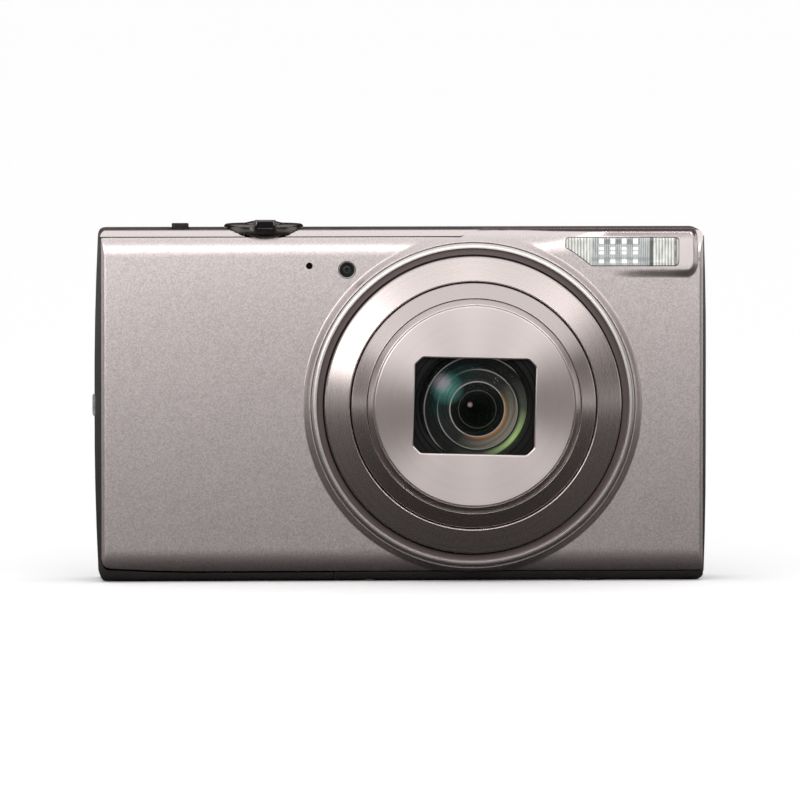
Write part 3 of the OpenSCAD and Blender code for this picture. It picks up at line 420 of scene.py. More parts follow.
def turned(name, body, nodes, stations, material, ease, steps=256, axis=LENS):
    """A piece turned round an axis that runs forward, from radius and distance to the front,
    in millimetres. Its own Z is the axis, so that the grooves run round it."""
    placed, closed = eased(stations, ease)
    places, normals, faces, rows = [], [], [], []
    for spot, normal in placed:
        lone = spot.x < 1e-6
        rows.append((len(places), lone))
        for k in range(1 if lone else steps):
            c, s = math.cos(2 * math.pi * k / steps), math.sin(2 * math.pi * k / steps)
            if lone:
                c, s, normal = 0, 0, Vector((0, math.copysign(1, normal.y)))
            places.append((spot.x * c * millimetre, spot.x * s * millimetre, spot.y * millimetre))
            normals.append((normal.x * c, normal.x * s, normal.y))
    for (first, _), (second, lone) in zip(rows, rows[1:] + (rows[:1] if closed else [])):
        for k in range(steps):
            n = (k + 1) % steps
            faces.append((first + k, first + n) + ((second,) if lone else (second + n, second + k)))
    mesh = bpy.data.meshes.new(name)
    mesh.from_pydata(places, [], faces)
    mesh.polygons.foreach_set("use_smooth", [True] * len(faces))
    mesh.normals_split_custom_set_from_vertices(normals)
    faced(piece_of(name, mesh, body, nodes, material), axis)


def from_axis(wire, scale=1000):
    """Distance from the piece's own Z axis, in millimetres."""
    flat = wire.add("VectorMath", {"operation": "MULTIPLY"},
                    {0: wire.add("TexCoord", out="Object"), 1: (scale, scale, 0)})
    return wire.add("VectorMath", {"operation": "LENGTH"}, {0: flat}, out="Value")


def lathed(name, colour, dull, grooves, streak):
    """Metal turned on a lathe: grooves that change with the radius alone."""
    material, wire = finish(name)
    run = wire.add("CombineXYZ", None, {0: from_axis(wire, 1), 1: coordinate(wire, 2, 0.5)})
    fine = wire.add("TexNoise", None, {"Vector": run, "Scale": 9000.0, "Detail": 3.0})
    broad = wire.add("TexNoise", None, {"Vector": run, "Scale": 900.0, "Detail": 2.0})
    shade = (fine * 0.6 + broad * 0.4).over(*STRONG)
    dark = tone(*(c * (1 - 0.12 * grooves) for c in colour))
    surface(wire, {"Base Color": shade.mixed(dark, tone(*colour)), "Metallic": 1.0,
                   "Roughness": dull - 0.04 + fine * 0.08, "Anisotropic": streak,
                   "Anisotropic Rotation": 0.25}, fine, 0.0000012 * grooves)
    return material


spun = lathed("turned anodised metal", (0.61, 0.54, 0.525), 0.27, 0.2, 0.6)
spun_plate = lathed("turned plate metal", (0.88, 0.79, 0.77), 0.33, 0.5, 0.8)

turned("ring_finished", "camera_body", ["lens_ring_fixed"],
       [(24.1, 5.1), (24.1, 7.28), (23.92, 7.42), (20.24, 8.7), (20.05, 8.55), (20.05, 5.1), (24.1, 5.1)],
       spun, 0.08)
turned("barrel_1_finished", "barrel_1", ["barrel_1"],
       [(19.85, -3.0), (19.85, 8.68), (19.72, 8.84), (17.48, 10.2), (17.38, 10.1), (17.38, -2.1),
        (12, -2.1), (12, -3.0), (19.85, -3.0)], spun, 0.08)
turned("barrel_2_finished", "barrel_2", ["barrel_2"],
       [(17.32, -1.8), (17.32, 10.16), (17.24, 10.3), (16.5, 11.18), (16.3, 11.2), (16.3, 10.9),
        (15.9, 10.86), (16.6, 10.4), (16.6, -1.8), (17.32, -1.8)], spun, 0.06)


# The front plate: a thin turned disc with a cut-out window, glued into the second barrel. It
# carries the widest grooves, and the window's edge is broken by a small bright bevel.
def within(p, loop):
    odd = False
    for (x0, y0), (x1, y1) in zip(loop, loop[1:] + loop[:1]):
        if (y0 > p[1]) != (y1 > p[1]) and p[0] < (x1 - x0) * (p[1] - y0) / (y1 - y0) + x0:
            odd = not odd
    return odd


def filled(loops, spots=(), lines=()):
    """Triangles between closed loops of places, with more places and lines in between."""
    places, edges = [], []
    for run, closed in [(loop, True) for loop in loops] + [(line, False) for line in lines]:
        first, count = len(places), len(run)
        places += [Vector(p) for p in run]
        edges += [(first + i, first + (i + 1) % count) for i in range(count if closed else count - 1)]
    places += [Vector(p) for p in spots]
    found, _, faces, *_ = delaunay_2d_cdt(places, edges, [], 0, 1e-7)
    middles = [(found[a] + found[b] + found[c]) / 3 for a, b, c in faces]
    return found, [f for f, p in zip(faces, middles) if sum(within(p, loop) for loop in loops) % 2]


PLATE_R, PLATE_FRONT, PLATE_BACK = 16.25, 11.4, 10.9
WINDOW_W, WINDOW_H, WINDOW_CUT, WINDOW_EASE, WINDOW_TURN = 19.6, 15.5, 1.2, 0.35, -1.4


def arc(middle, radius, turns):
    """Places round a middle, at these angles in radians."""
    return [(middle[0] + radius * math.cos(a), middle[1] + radius * math.sin(a)) for a in turns]


def circle_of(radius, steps, middle=(0, 0)):
    return arc(middle, radius, [2 * math.pi * k / steps for k in range(steps)])


def window_loop(grow):
    """The window's outline, with its cut corners eased, anticlockwise from the front."""
    w, h, c = WINDOW_W / 2 + grow, WINDOW_H / 2 + grow, WINDOW_CUT + grow * 0.6
    corners = [(w - c, -h), (w, c - h), (w, h - c), (w - c, h),
               (c - w, h), (-w, h - c), (-w, c - h), (c - w, -h)]
    turn, loop = math.radians(WINDOW_TURN), []
    for i, here in enumerate(corners):
        here, back, on = Vector(here), Vector(corners[i - 1]), Vector(corners[(i + 1) % 8])
        a, b = (here + (other - here).normalized() * WINDOW_EASE for other in (back, on))
        for t in (0, 0.25, 0.5, 0.75, 1):
            p = bent(a, here, b, t)
            loop.append((p.x * math.cos(turn) - p.y * math.sin(turn),
                         p.x * math.sin(turn) + p.y * math.cos(turn)))
    return loop


def stepped_plate(name, loops, levels, put, sharp, body, nodes, material, spots=()):
    """A plate whose front fills its loops, and whose edges step down through levels: for each,
    how far the edge stands out from the front's, and its distance forward."""
    mesh = bmesh.new()
    flat, faces = filled([loop(levels[0][0]) for loop in loops], spots)
    corners = [mesh.verts.new(put(p.x, p.y, levels[0][1])) for p in flat]
    for f in faces:
        mesh.faces.new([corners[i] for i in f])
    for loop in loops:
        rings = [[mesh.verts.new(put(x, y, f)) for x, y in loop(grow)] for grow, f in levels]
        for upper, lower in zip(rings, rings[1:]):
            for k in range(len(upper)):
                n = (k + 1) % len(upper)
                quad = (upper[k], lower[k], lower[n], upper[n])
                mesh.faces.new(quad if loop is loops[0] else quad[::-1])
    bmesh.ops.remove_doubles(mesh, verts=mesh.verts, dist=1e-7)
    for f in mesh.faces:
        f.smooth = True
    for e in mesh.edges:
        e.smooth = len(e.link_faces) < 2 or e.calc_face_angle(0) < math.radians(sharp)
    data = bpy.data.meshes.new(name)
    mesh.to_mesh(data)
    mesh.free()
    return piece_of(name, data, body, nodes, material)


faced(stepped_plate(
    "front_plate_finished", [lambda g: circle_of(PLATE_R + g, 256), lambda g: window_loop(-g)],
    [(-0.20, PLATE_FRONT), (-0.06, PLATE_FRONT - 0.07), (0, PLATE_FRONT - 0.2), (0, PLATE_BACK)],
    lambda x, y, f: (x * millimetre, y * millimetre, f * millimetre), 20,
    "barrel_2", ["front_plate"], spun_plate))


# The barrier and the front glass: four black leaves park over and under the window. Behind
# them the front element sits in a ribbed black holder. The rims of the elements behind it are
# painted as fine bright rings of highlight, and painted reflections in orange, green, teal and
# pink lie over the stack, brighter to the lower right.
satin_leaf = grained("satin black leaf", 0.0003, (0.004, 0.004, 0.004), (0.007, 0.007, 0.007), 0.34, 0.12,
                     0.000002, metal=0.0, shine=0.14, contrast=STRONG)
turned("lens_carrier", "barrel_2", [], [(16.6, 9.05), (16.6, 9.75), (10.6, 9.75), (10.6, 9.05), (16.6, 9.05)],
       satin_leaf, 0.05, 96)
dress(satin_leaf, "barrier_upper_inner", "barrier_upper_outer", "barrier_lower_inner", "barrier_lower_outer")
turned("holder_finished", "barrel_2", ["front_lens_holder"],
       [(12.0, 8.25), (12.0, 9.05), (10.5, 9.05), (10.5, 9.65), (9.7, 9.65), (9.45, 9.2), (9.4, 9.05),
        (9.2, 9.0), (9.15, 8.75), (8.98, 8.7), (8.93, 8.4), (8.8, 7.8), (8.8, 5.7), (6.7, 5.7), (4.9, 4.9),
        (4.2, 4.9), (4.2, 4.5), (10.5, 4.5), (10.5, 8.25), (12.0, 8.25)],
       satin_leaf, 0.05, 192)

GLASS_R, GLASS_FRONT, GLASS_CURVE, GLASS_RIM, GLASS_STEPS = 8.8, 8.7, 26.0, 0.3, 14
reach = math.asin(GLASS_R / GLASS_CURVE)
glass_run = arc((0, GLASS_FRONT - GLASS_CURVE), GLASS_CURVE,
                [math.pi / 2 - reach * (1 - k / GLASS_STEPS) for k in range(GLASS_STEPS)])

coated, wire = finish("coated glass")
# The glass's faint tint is a painted reflection: green to the lower right, teal to the upper left.
painted_reflection_slant = (coordinate(wire, 1) * 0.75 - coordinate(wire, 0) * 0.66) / GLASS_R
surface(wire, {"Base Color": painted_reflection_slant.over(-0.6, 0.7).mixed(tone(0.01, 0.03, 0.008), tone(0.006, 0.02, 0.018)),
               "Roughness": 0.04, "Alpha": 0.06, "Specular IOR Level": 0.25})
turned("front_glass_finished", "barrel_2", ["front_glass"],
       [(GLASS_R, glass_run[0][1] - GLASS_RIM)] + glass_run + [(0, GLASS_FRONT)],
       coated, 0.02, 192)

STACK_R, RIM_HIGHLIGHT_GREY, DARK = 9.2, (0.34, 0.32, 0.30), 0.006
stack_colours_and_reflections, wire = finish("lens stack")
place = wire.add("TexCoord", out="Object")
flat = wire.add("VectorMath", {"operation": "MULTIPLY_ADD"},
                {0: place, 1: (1000, 1000, 0), 2: (-0.72, 0.73, 0)})
radius = wire.add("VectorMath", {"operation": "LENGTH"}, {0: flat}, out="Value")
across, upward = (wire.add("SeparateXYZ", None, {0: flat}, out=i) for i in range(2))
toward = (across * -0.77 + upward * 0.64) / (radius + 0.2)
# The stack's dark zones, with painted highlights as fine bright rings on the rims of the elements.
dark_zones_and_rim_highlights = wire.add("ValToRGB", {"stops": [
    (0.0, tone(0.0)), (0.322, tone(0.002)), (0.333, tone(0.06, 0.055, 0.05)), (0.344, tone(0.003)),
    (0.47, tone(DARK)), (0.486, tone(*RIM_HIGHLIGHT_GREY)), (0.50, tone(0.02, 0.016, 0.012)), (0.515, tone(0.02)),
    (0.56, tone(0.016)), (0.69, tone(0.015)), (0.703, tone(0.27, 0.27, 0.25)), (0.716, tone(0.01)),
    (0.925, tone(0.008)), (0.945, tone(0.22, 0.22, 0.20)), (0.955, tone(DARK)), (1.0, tone(0.004))]},
    {0: radius / STACK_R})


def spot(across, up, size, soft):
    """A soft round patch of painted reflection on the stack, in millimetres from the axis."""
    gap = wire.add("VectorMath", {"operation": "DISTANCE"}, {0: flat, 1: (across, up, 0)}, out="Value")
    return 1 - gap.over(size - soft, size + soft)


# Painted reflections: brighter to the lower right, with orange, grey-brown and green there, teal and pink
# patches to the upper left, and a small pale painted glint near the middle.
painted_light_lower_right = (0 - toward).over(0.1, 0.95)
outer_zone = radius.band(6.75, 7.2, 8.3, 8.5)
colour = dark_zones_and_rim_highlights
for mask, painted_reflection in (
        (painted_light_lower_right * radius.band(4.5, 4.6, 4.7, 5.1), (0.30, 0.13, 0.04)),
        (painted_light_lower_right * radius.band(4.8, 5.3, 6.3, 6.6) * 0.9, (0.17, 0.15, 0.12)),
        (painted_light_lower_right * outer_zone * 0.8, (0.085, 0.09, 0.075)),
        (spot(5.1, -4.3, 2.8, 2.3) * outer_zone, (0.30, 0.42, 0.16)),
        (toward.over(0.5, 0.98) * radius.band(4.6, 5.4, 7.0, 8.4) * 0.9, (0.003, 0.021, 0.017)),
        (spot(-4.9, 3.4, 1.5, 1.4) * 0.9, (0.07, 0.21, 0.18)),
        (spot(-5.7, 4.3, 1.0, 0.8) * 0.5, (0.42, 0.27, 0.34)),
        (spot(-1.2, 0.75, 0.26, 0.25), (0.30, 0.20, 0.23))):
    colour = mask.mixed(colour, tone(*painted_reflection))
surface(wire, {"Base Color": colour, "Roughness": 0.25 + radius * 0.01, "Specular IOR Level": 0.04})
turned("lens_stack", "barrel_2", [],
       [(8.75, 5.75), (8.75, 7.05), (6.9, 6.35), (6.8, 6.45), (6.7, 6.35), (6.6, 6.1), (5.0, 5.95),
        (4.9, 6.05), (4.8, 5.95), (4.45, 5.9), (4.35, 6.05), (4.22, 5.95), (3.9, 6.0), (3.3, 6.08),
        (3.25, 6.12), (3.2, 6.06), (2.0, 6.2), (1.0, 6.26), (0, 6.28)],
       stack_colours_and_reflections, 0.02, 192)


# The front cover: one aluminium pressing in champagne paint full of fine metal flake. The flat
# face rolls over into the top and the base, rises in a soft pad round the flash window and
# swells into a low collar round the lens, all as one smooth skin with its wall behind it.
flake_paint, wire = finish("champagne flake paint")
flake, cloud = mottle(wire, 0.0002), mottle(wire, 0.008)
# The top of the shoulder is smoother. It and the flash pad also carry a painted highlight, a lighter tint.
smooth_top_and_painted_highlight = coordinate(wire, 2).over(55.4, 56.4)
on_pad = coordinate(wire, 0).over(30, 45) * coordinate(wire, 2).over(50.6, 51.6)
sparkle = flake.over(0.32, 0.68) * 0.85 + cloud * 0.15
tint = sparkle.mixed(tone(0.545, 0.488, 0.48), tone(0.785, 0.715, 0.705))
tint = wire.maths("MAXIMUM", smooth_top_and_painted_highlight * 0.7, on_pad).mixed(tint, tone(0.82, 0.745, 0.735))
surface(wire, {"Base Color": tint, "Metallic": 0.98, "Roughness": 0.30 + flake * 0.08 - smooth_top_and_painted_highlight * 0.15},
        flake * (1 - smooth_top_and_painted_highlight * 0.9), 0.0000022)

BODY_H, HALF_W, FACE, BAND, WALL = 57.2, 48.9, -5.5, -1.6, 1.0
SHOULDER_R, ROLL_R, EDGE_R, LIP, TOP_SEAM, BASE_SEAM = 3.5, 4.5, 0.75, 1.0, 56.1, 1.6
COLLAR_R, COLLAR_RISE, SEAM_GAP = 26.4, 1.2, 0.2
PAD_RISE, PAD_X1, PAD_Z0, PAD_Z1, PAD_CORNER = 0.5, 47.3, 50.8, 57.15, 1.2
FLASH_X0, FLASH_X1, FLASH_Z0, FLASH_Z1, FLASH_ARC = 26.5, 44.8, 51.3, 55.85, 29.65
MIC, MIC_R, LAMP, LAMP_R = (-15.15, 51.35), 0.55, (-9.05, 50.7), 1.35
TOP_END, TOP_STEP, CORNER_H, CORNER_W, BATTERY_END = 13.6, 4.2, 1.3, 1.15, 1.6
PAD_FROM_X, PAD_FROM_Z, COLLAR_FALL, COLLAR_FILLET = 18, 38, 1.9, 0.9
FLASH_DEPTH, MIC_DEPTH, LAMP_DEPTH = -4.3, -3.6, -3.8


def rolled(radius):
    """A turn from the face into a side that starts and ends gently: its length, and how far
    along the face and back from it each part of that length lies."""
    length, steps = 2.09 * radius, 120
    table, on, back = [(0.0, 0.0)], 0.0, 0.0
    for i in range(steps):
        t = (i + 0.5) / steps
        turn = math.pi / 2 * (3 * t * t - 2 * t ** 3)
        on += math.cos(turn) * length / steps
        back += math.sin(turn) * length / steps
        table.append((on, back))
    return length, table


def along_turn(s, turn):
    """How far along and back a length of the unrolled cover reaches."""
    length, table = turn
    if s <= 0:
        return s, 0.0
    if s >= length:
        return table[-1][0], table[-1][1] + s - length
    k = s / length * (len(table) - 1)
    i = int(k)
    (a0, b0), (a1, b1) = table[i], table[min(i + 1, len(table) - 1)]
    return a0 + (a1 - a0) * (k - i), b0 + (b1 - b0) * (k - i)


shoulder, base_roll, edge_turn = rolled(SHOULDER_R), rolled(ROLL_R), rolled(EDGE_R)
SHOULDER_Z = BODY_H - shoulder[1][-1][0]
ROLL_Z = base_roll[1][-1][0]
EDGE_X = HALF_W - edge_turn[1][-1][0]


def smooth_over(a, b, soft):
    """The greater of two heights, with a hollow fillet where they meet."""
    return max(a, b) + max(soft - abs(a - b), 0) ** 2 / (4 * soft)


def swell(t):
    t = min(max(t, 0), 1)
    return t * t * (3 - 2 * t)


def relief(x, z, sunk):
    """How far the cover stands off the flat face, where the plain body lies sunk behind it."""
    height = -sunk
    if x > PAD_FROM_X and z > PAD_FROM_Z:
        right = max(x - PAD_X1 + PAD_CORNER, 0)
        low = max(PAD_Z0 + PAD_CORNER - z, 0) * 0.75
        high = max(z - PAD_Z1 + PAD_CORNER, 0) if right else 0
        gap = math.hypot(low + high, right) - PAD_CORNER
        on_pad = (1 - swell(gap + 0.2)) * (1 - swell((z - PAD_Z1 + 0.4) / 0.4)) * swell((x - PAD_FROM_X) / 16)
        rise = PAD_RISE * (0.45 * swell((x - 33) / 9) + 0.55 * swell((x - 42) / 5))
        height += (rise - height) * on_pad
    beyond = math.hypot(x - LENS_X, z - LENS_Z) - COLLAR_R
    if beyond < 3.6:
        height = smooth_over(height, COLLAR_RISE - COLLAR_FALL * max(beyond - 0.1, 0) ** 1.5, COLLAR_FILLET)
    return height


def skin(u, s):
    """The cover's outer face over its unrolled width u and height s."""
    out, back_x = along_turn(abs(u) - EDGE_X, edge_turn)
    x = math.copysign(EDGE_X + out, u)
    if s > LENS_Z:
        up, back_z = along_turn(s - SHOULDER_Z, shoulder)
        z = SHOULDER_Z + up
    else:
        up, back_z = along_turn(ROLL_Z - s, base_roll)
        z = ROLL_Z - up
    sunk = smooth_over(back_x, back_z, 0.25) if back_x > 0.01 and back_z > 0.01 else max(back_x, back_z)
    return Vector((x, FACE - relief(x, z, sunk), z))


def skin_normal(u, s):
    step = 0.01
    across = skin(u + step, s) - skin(u - step, s)
    up = skin(u, s + step) - skin(u, s - step)
    return across.cross(up).normalized()


def unrolled(x, z):
    """The u and s of a place seen square from the front."""
    def back_from(reach, turn):
        if reach <= 0:
            return reach
        low, high = 0.0, turn[0]
        for _ in range(30):
            middle = (low + high) / 2
            low, high = (middle, high) if along_turn(middle, turn)[0] < reach else (low, middle)
        return low
    u = math.copysign(EDGE_X + back_from(abs(x) - EDGE_X, edge_turn), x)
    if z > LENS_Z:
        return u, SHOULDER_Z + back_from(z - SHOULDER_Z, shoulder)
    return u, ROLL_Z - back_from(ROLL_Z - z, base_roll)


def evenly(a, b, step):
    count = max(1, round((b - a) / step))
    return [a + (b - a) * i / count for i in range(count + 1)]


def base_line(x):
    """Height of the seam over the base, which climbs at the battery end."""
    from_end = x + HALF_W
    seam = BASE_SEAM + SEAM_GAP
    if from_end < BATTERY_END:
        return seam + 2.0 - math.sqrt(max(BATTERY_END ** 2 - (BATTERY_END - from_end) ** 2, 0)) * 0.94
    if from_end < 8:
        return seam + 0.5 - 0.35 * (from_end - BATTERY_END) / 6.4
    return seam + max(0.15 * (14 - from_end) / 6, 0)


def top_line(x):
    """Unrolled height of the edge under the top cover, which runs back over the deck's end."""
    seam = unrolled(0, TOP_SEAM)[1] - SEAM_GAP
    over = SHOULDER_Z + shoulder[0] + BAND - (FACE + shoulder[1][-1][1]) - SEAM_GAP
    return seam + (over - seam) * min(max((x - TOP_END + TOP_STEP) / TOP_STEP, 0), 1)


def corner_limit(s):
    """How far the cover reaches sideways where its corners are rounded."""
    z = skin(0, s).z
    for centre, sign in ((BODY_H - CORNER_H, 1), (CORNER_H, -1)):
        if (z - centre) * sign > 0:
            level = math.sqrt(max(CORNER_H ** 2 - (z - centre) ** 2, 0))
            return HALF_W - CORNER_W + level * CORNER_W / CORNER_H
    return HALF_W + 1


SIDE_U = EDGE_X + edge_turn[0] + LIP - EDGE_R - 0.12


def side_reach(s):
    """Unrolled width at which the cover ends at this height."""
    limit = corner_limit(s)
    return SIDE_U if skin(SIDE_U, s).x < limit else unrolled(limit, LENS_Z)[0]


left_s = evenly(unrolled(0, base_line(-HALF_W))[1], unrolled(0, TOP_SEAM)[1], 0.5)
right_s = evenly(unrolled(0, base_line(HALF_W))[1], top_line(HALF_W), 0.5)
top_u = evenly(-corner_limit(left_s[-1]) + 0.4, corner_limit(right_s[-1]) - 0.2, 0.25)
rim = [(u, unrolled(0, base_line(max(min(u, HALF_W), -HALF_W)))[1]) for u in evenly(-SIDE_U, SIDE_U, 0.5)]
rim += [(side_reach(s), s) for s in right_s[1:]]
rim += [(u, top_line(u)) for u in reversed(top_u)]
rim += [(-side_reach(s), s) for s in reversed(left_s[1:-1])]

ARC_R, INSET, CORNER_R = FLASH_ARC - 0.1, 0.6, 0.7
flash_hole = []
for x, z, start in ((FLASH_X1 - INSET, FLASH_Z0 + INSET, -90), (FLASH_X1 - INSET, FLASH_Z1 - INSET, 0),
                    (FLASH_X0 + INSET, FLASH_Z1 - INSET, 90), (FLASH_X0 + INSET, FLASH_Z0 + INSET, 180)):
    flash_hole += [p for p in arc((x, z), CORNER_R, [math.radians(a) for a in range(start, start + 91, 15)])
                   if math.dist(p, LENS) > ARC_R]
low_end, left_end = math.asin((FLASH_Z0 - 0.1 - LENS_Z) / ARC_R), math.acos((FLASH_X0 - 0.1 - LENS_X) / ARC_R)
flash_hole += arc(LENS, ARC_R, reversed(evenly(low_end, left_end, 0.015)))
holes = [[unrolled(*p) for p in hole] for hole in (
    circle_of(COLLAR_R, 256, LENS), flash_hole, circle_of(MIC_R, 32, MIC), circle_of(LAMP_R + 0.1, 64, LAMP))]

COLLAR_FOOT = 28.5
collar = {r: [unrolled(*p) for p in circle_of(r, 256, LENS)]
          for r in (26.44, 26.48, 26.52, 26.58, 26.65, 26.74, 26.84, 26.94, 27.05, 27.17, 27.3, 27.45, 27.6,
                    27.8, 28.05, 28.35, COLLAR_FOOT)}
lines = [ring + ring[:1] for r, ring in collar.items() if r < COLLAR_FOOT]
turns = ([SHOULDER_Z + shoulder[0] * k / 16 for k in range(17)] +
         [ROLL_Z - base_roll[0] * k / 16 for k in range(13)])
spots = [(u, s) for u in evenly(-EDGE_X, EDGE_X, 2.2)
         for s in turns + evenly(ROLL_Z + 2, SHOULDER_Z - 2, 4)]
for k in range(9):
    u = EDGE_X + edge_turn[0] * k / 8
    for s in turns + evenly(ROLL_Z + 1, SHOULDER_Z - 1, 1.2):
        spots += [(u, s), (-u, s)]
for x in evenly(20, 40, 0.4) + evenly(40.2, 48.0, 0.2):
    for z in evenly(40, 48, 0.8) + evenly(48.2, 56.7, 0.22) + evenly(56.75, 57.17, 0.06):
        spots.append(unrolled(x, z))


def clear_of(p, loop, room):
    return all(abs(p[0] - q[0]) > room or abs(p[1] - q[1]) > room for q in loop)


spots = [p for p in spots if within(p, rim) and clear_of(p, rim, 0.12) and not within(p, collar[COLLAR_FOOT])
         and not any(within(p, hole) or not clear_of(p, hole, 0.06) for hole in holes[1:])]
found, faces = filled([rim] + holes, spots, lines)
outer = [skin(*p) for p in found]
normals = [skin_normal(*p) for p in found]
count = len(outer)
inner = [p - n * WALL for p, n in zip(outer, normals)]
sides = [side for f in faces for side in zip(f, f[1:] + f[:1])]
joined = {(b, a) for a, b in sides}
open_edges = [side for side in sides if side not in joined]
depth_of = {}
for loop, y in zip(holes, (BAND, FLASH_DEPTH, MIC_DEPTH, LAMP_DEPTH)):
    near = {(round(u, 4), round(s, 4)) for u, s in loop}
    depth_of.update({i: y for i, p in enumerate(found) if (round(p.x, 4), round(p.y, 4)) in near})
skin_places = outer + inner
skin_faces = [tuple(f) for f in faces] + [tuple(i + count for i in reversed(f)) for f in faces]
skin_normals = [[normals[i] for i in f] for f in faces] + [[-normals[i] for i in reversed(f)] for f in faces]
for a, b in open_edges:
    ends = [Vector((outer[i].x, depth_of[i], outer[i].z)) if i in depth_of else inner[i] for i in (a, b)]
    first = len(skin_places)
    skin_places += [outer[a], outer[b], ends[1], ends[0]]
    flat = (outer[b] - outer[a]).cross(ends[1] - outer[b]).normalized()
    skin_faces.append((first + 1, first, first + 3, first + 2))
    skin_normals.append([-flat] * 4)
mesh = bpy.data.meshes.new("front_cover_finished")
mesh.from_pydata([p * millimetre for p in skin_places], [], skin_faces)
mesh.polygons.foreach_set("use_smooth", [True] * len(skin_faces))
mesh.normals_split_custom_set([n for face in skin_normals for n in face])
piece_of("front_cover_finished", mesh, "camera_body", ["front_cover"], flake_paint)


# The bezel: a polished ring pressed into the collar, with a rounded crest and a step inside
# that is painted dark brown-grey: painted shade under the crest.
polished, wire = finish("polished bezel")
brushed = mottle(wire, 0.0003)
# Inward of the step the colour is dark brown-grey: painted shade.
outward_of_step = from_axis(wire).over(25.3, 25.42)
silver = brushed.over(*STRONG).mixed(tone(0.66, 0.61, 0.60), tone(0.76, 0.71, 0.70))
surface(wire, {"Base Color": outward_of_step.mixed(tone(0.15, 0.12, 0.115), silver), "Metallic": 1.0,
               "Roughness": 0.42 - outward_of_step * 0.1 + brushed * 0.06}, brushed, 0.0000015)
CREST_R, CREST_MIDDLE = 0.7, (25.68, 6.3)
crest = arc(CREST_MIDDLE, CREST_R, [math.radians(a) for a in range(0, 91, 9)])
turned("bezel_finished", "camera_body", ["lens_bezel"],
       [(26.38, 3.6)] + crest + [(25.42, 7.0), (25.38, 5.9), (24.35, 5.9), (24.35, 3.6), (26.38, 3.6)],
       polished, 0.05)


# The flash window: clear moulded acrylic, set flush in its pad. Its back is cut into fine
# upright ribs at both ends and into lens cells between; the cells are painted bright, a painted
# highlight for the light of the tube and the mirror behind it. The dark bar is the edge of the mirror.
WINDOW_GAP, WINDOW_LIE, WINDOW_BACK = 0.1, 0.6, 4.7


def flash_loop(grow):
    """The window's outline, drawn in from its hole."""
    loop = []
    for i, p in enumerate(flash_hole):
        run = Vector(flash_hole[(i + 1) % len(flash_hole)]) - Vector(flash_hole[i - 1])
        loop.append(tuple(Vector(p) + Vector((run.y, -run.x)).normalized() * (grow - WINDOW_GAP)))
    return loop


def flash_place(x, z, f):
    """A place of the window: its front follows the pad, and its back is flat."""
    lie = min(relief(x, z, 0) - WINDOW_LIE, 0) if f > WINDOW_BACK else 0
    return x * millimetre, -(f + lie) * millimetre, z * millimetre


flash_clear, wire = finish("ribbed flash acrylic")
flash_window = stepped_plate(
    "flash_window_finished", [flash_loop], [(-0.12, 6.08), (-0.05, 6.06), (0, 5.98), (0, WINDOW_BACK)],
    flash_place, 35, "camera_body", ["flash_window"], flash_clear,
    [(x, z) for x in evenly(FLASH_X0, FLASH_X1, 0.6) for z in evenly(FLASH_Z0, FLASH_Z1, 0.6)
     if within((x, z), flash_loop(-0.4))])

# The first and last column of cells, the mirror's edge and the rows, from the photograph.
cell_x, last_x, bar_x = (placed_on(flash_window, x, 252).x * 1000 for x in (601.5, 635.5, 651.5))
row_z = [placed_on(flash_window, 618, y).z * 1000 for y in (241.2, 248.6, 252.8, 261.3)]
across, upward = coordinate(wire, 0), coordinate(wire, 2)
column = wire.maths("PINGPONG", across - cell_x, (last_x - cell_x) / 6)
in_cells = across.band(cell_x - 0.6, cell_x - 0.5, last_x + 0.6, last_x + 0.7)
on_column = (1 - column.over(0.30, 0.46)) * in_cells
cells = upward.near(row_z[0], 0.31, 0.46)
for z, half in zip(row_z[1:], (0.2, 0.2, 0.25)):
    cells = wire.maths("MAXIMUM", cells, upward.near(z, half - 0.05, half + 0.1))
middle = across.band(cell_x - 2.0, cell_x - 1.2, bar_x, bar_x + 0.1)
ribs = wire.maths("PINGPONG", across, 0.245) / 0.245
fine = wire.maths("PINGPONG", across + upward * 0.02, 0.15) / 0.15
cloud = mottle(wire, 0.0007, 2, (1, 1, 0.4))
shade = (ribs * 0.45 + cloud * 0.55).over(*STRONG).mixed(tone(0.26, 0.26, 0.25), tone(0.70, 0.70, 0.66))
grey = (fine * 0.5 + cloud * 0.5).over(*STRONG).mixed(tone(0.19, 0.20, 0.20), tone(0.46, 0.475, 0.47))
end_rib = across.band(FLASH_X1 - 0.75, FLASH_X1 - 0.6, FLASH_X1 - 0.35, FLASH_X1 - 0.25)
for mask, colour in (
        (middle, grey),
        (upward.near(row_z[0], 0.4, 0.6) * in_cells * 0.75, tone(0.16, 0.155, 0.15)),
        (upward.near(row_z[3] + 0.35, 0.2, 0.45) * middle * 0.55, tone(0.17, 0.19, 0.19)),
        # Painted highlights: the cell columns lighter, and the cells themselves near white.
        (on_column * 0.5, tone(0.45, 0.47, 0.47)),
        (on_column * cells, tone(0.95)),
        (across.near(bar_x, 0.2, 0.32) * 0.9, tone(0.05)),
        (end_rib * cloud.over(0.4, 0.55), tone(0.14, 0.13, 0.12))):
    shade = mask.mixed(shade, colour)
surface(wire, {"Base Color": shade, "Roughness": 0.16, "Coat Weight": 0.6, "Coat Roughness": 0.04,
               "Specular IOR Level": 0.6}, ribs * (1 - middle) + fine * middle * 0.4, 0.00009)

dress(grained("flash mirror", 0.0015, (0.82, 0.82, 0.82), (0.92, 0.92, 0.92), 0.06, 0.06), "flash_reflector")
dress(grained("flash tube glass", 0.001, (0.72, 0.74, 0.76), (0.85, 0.86, 0.88), 0.05, 0.05, metal=0.0),
      "flash_tube")


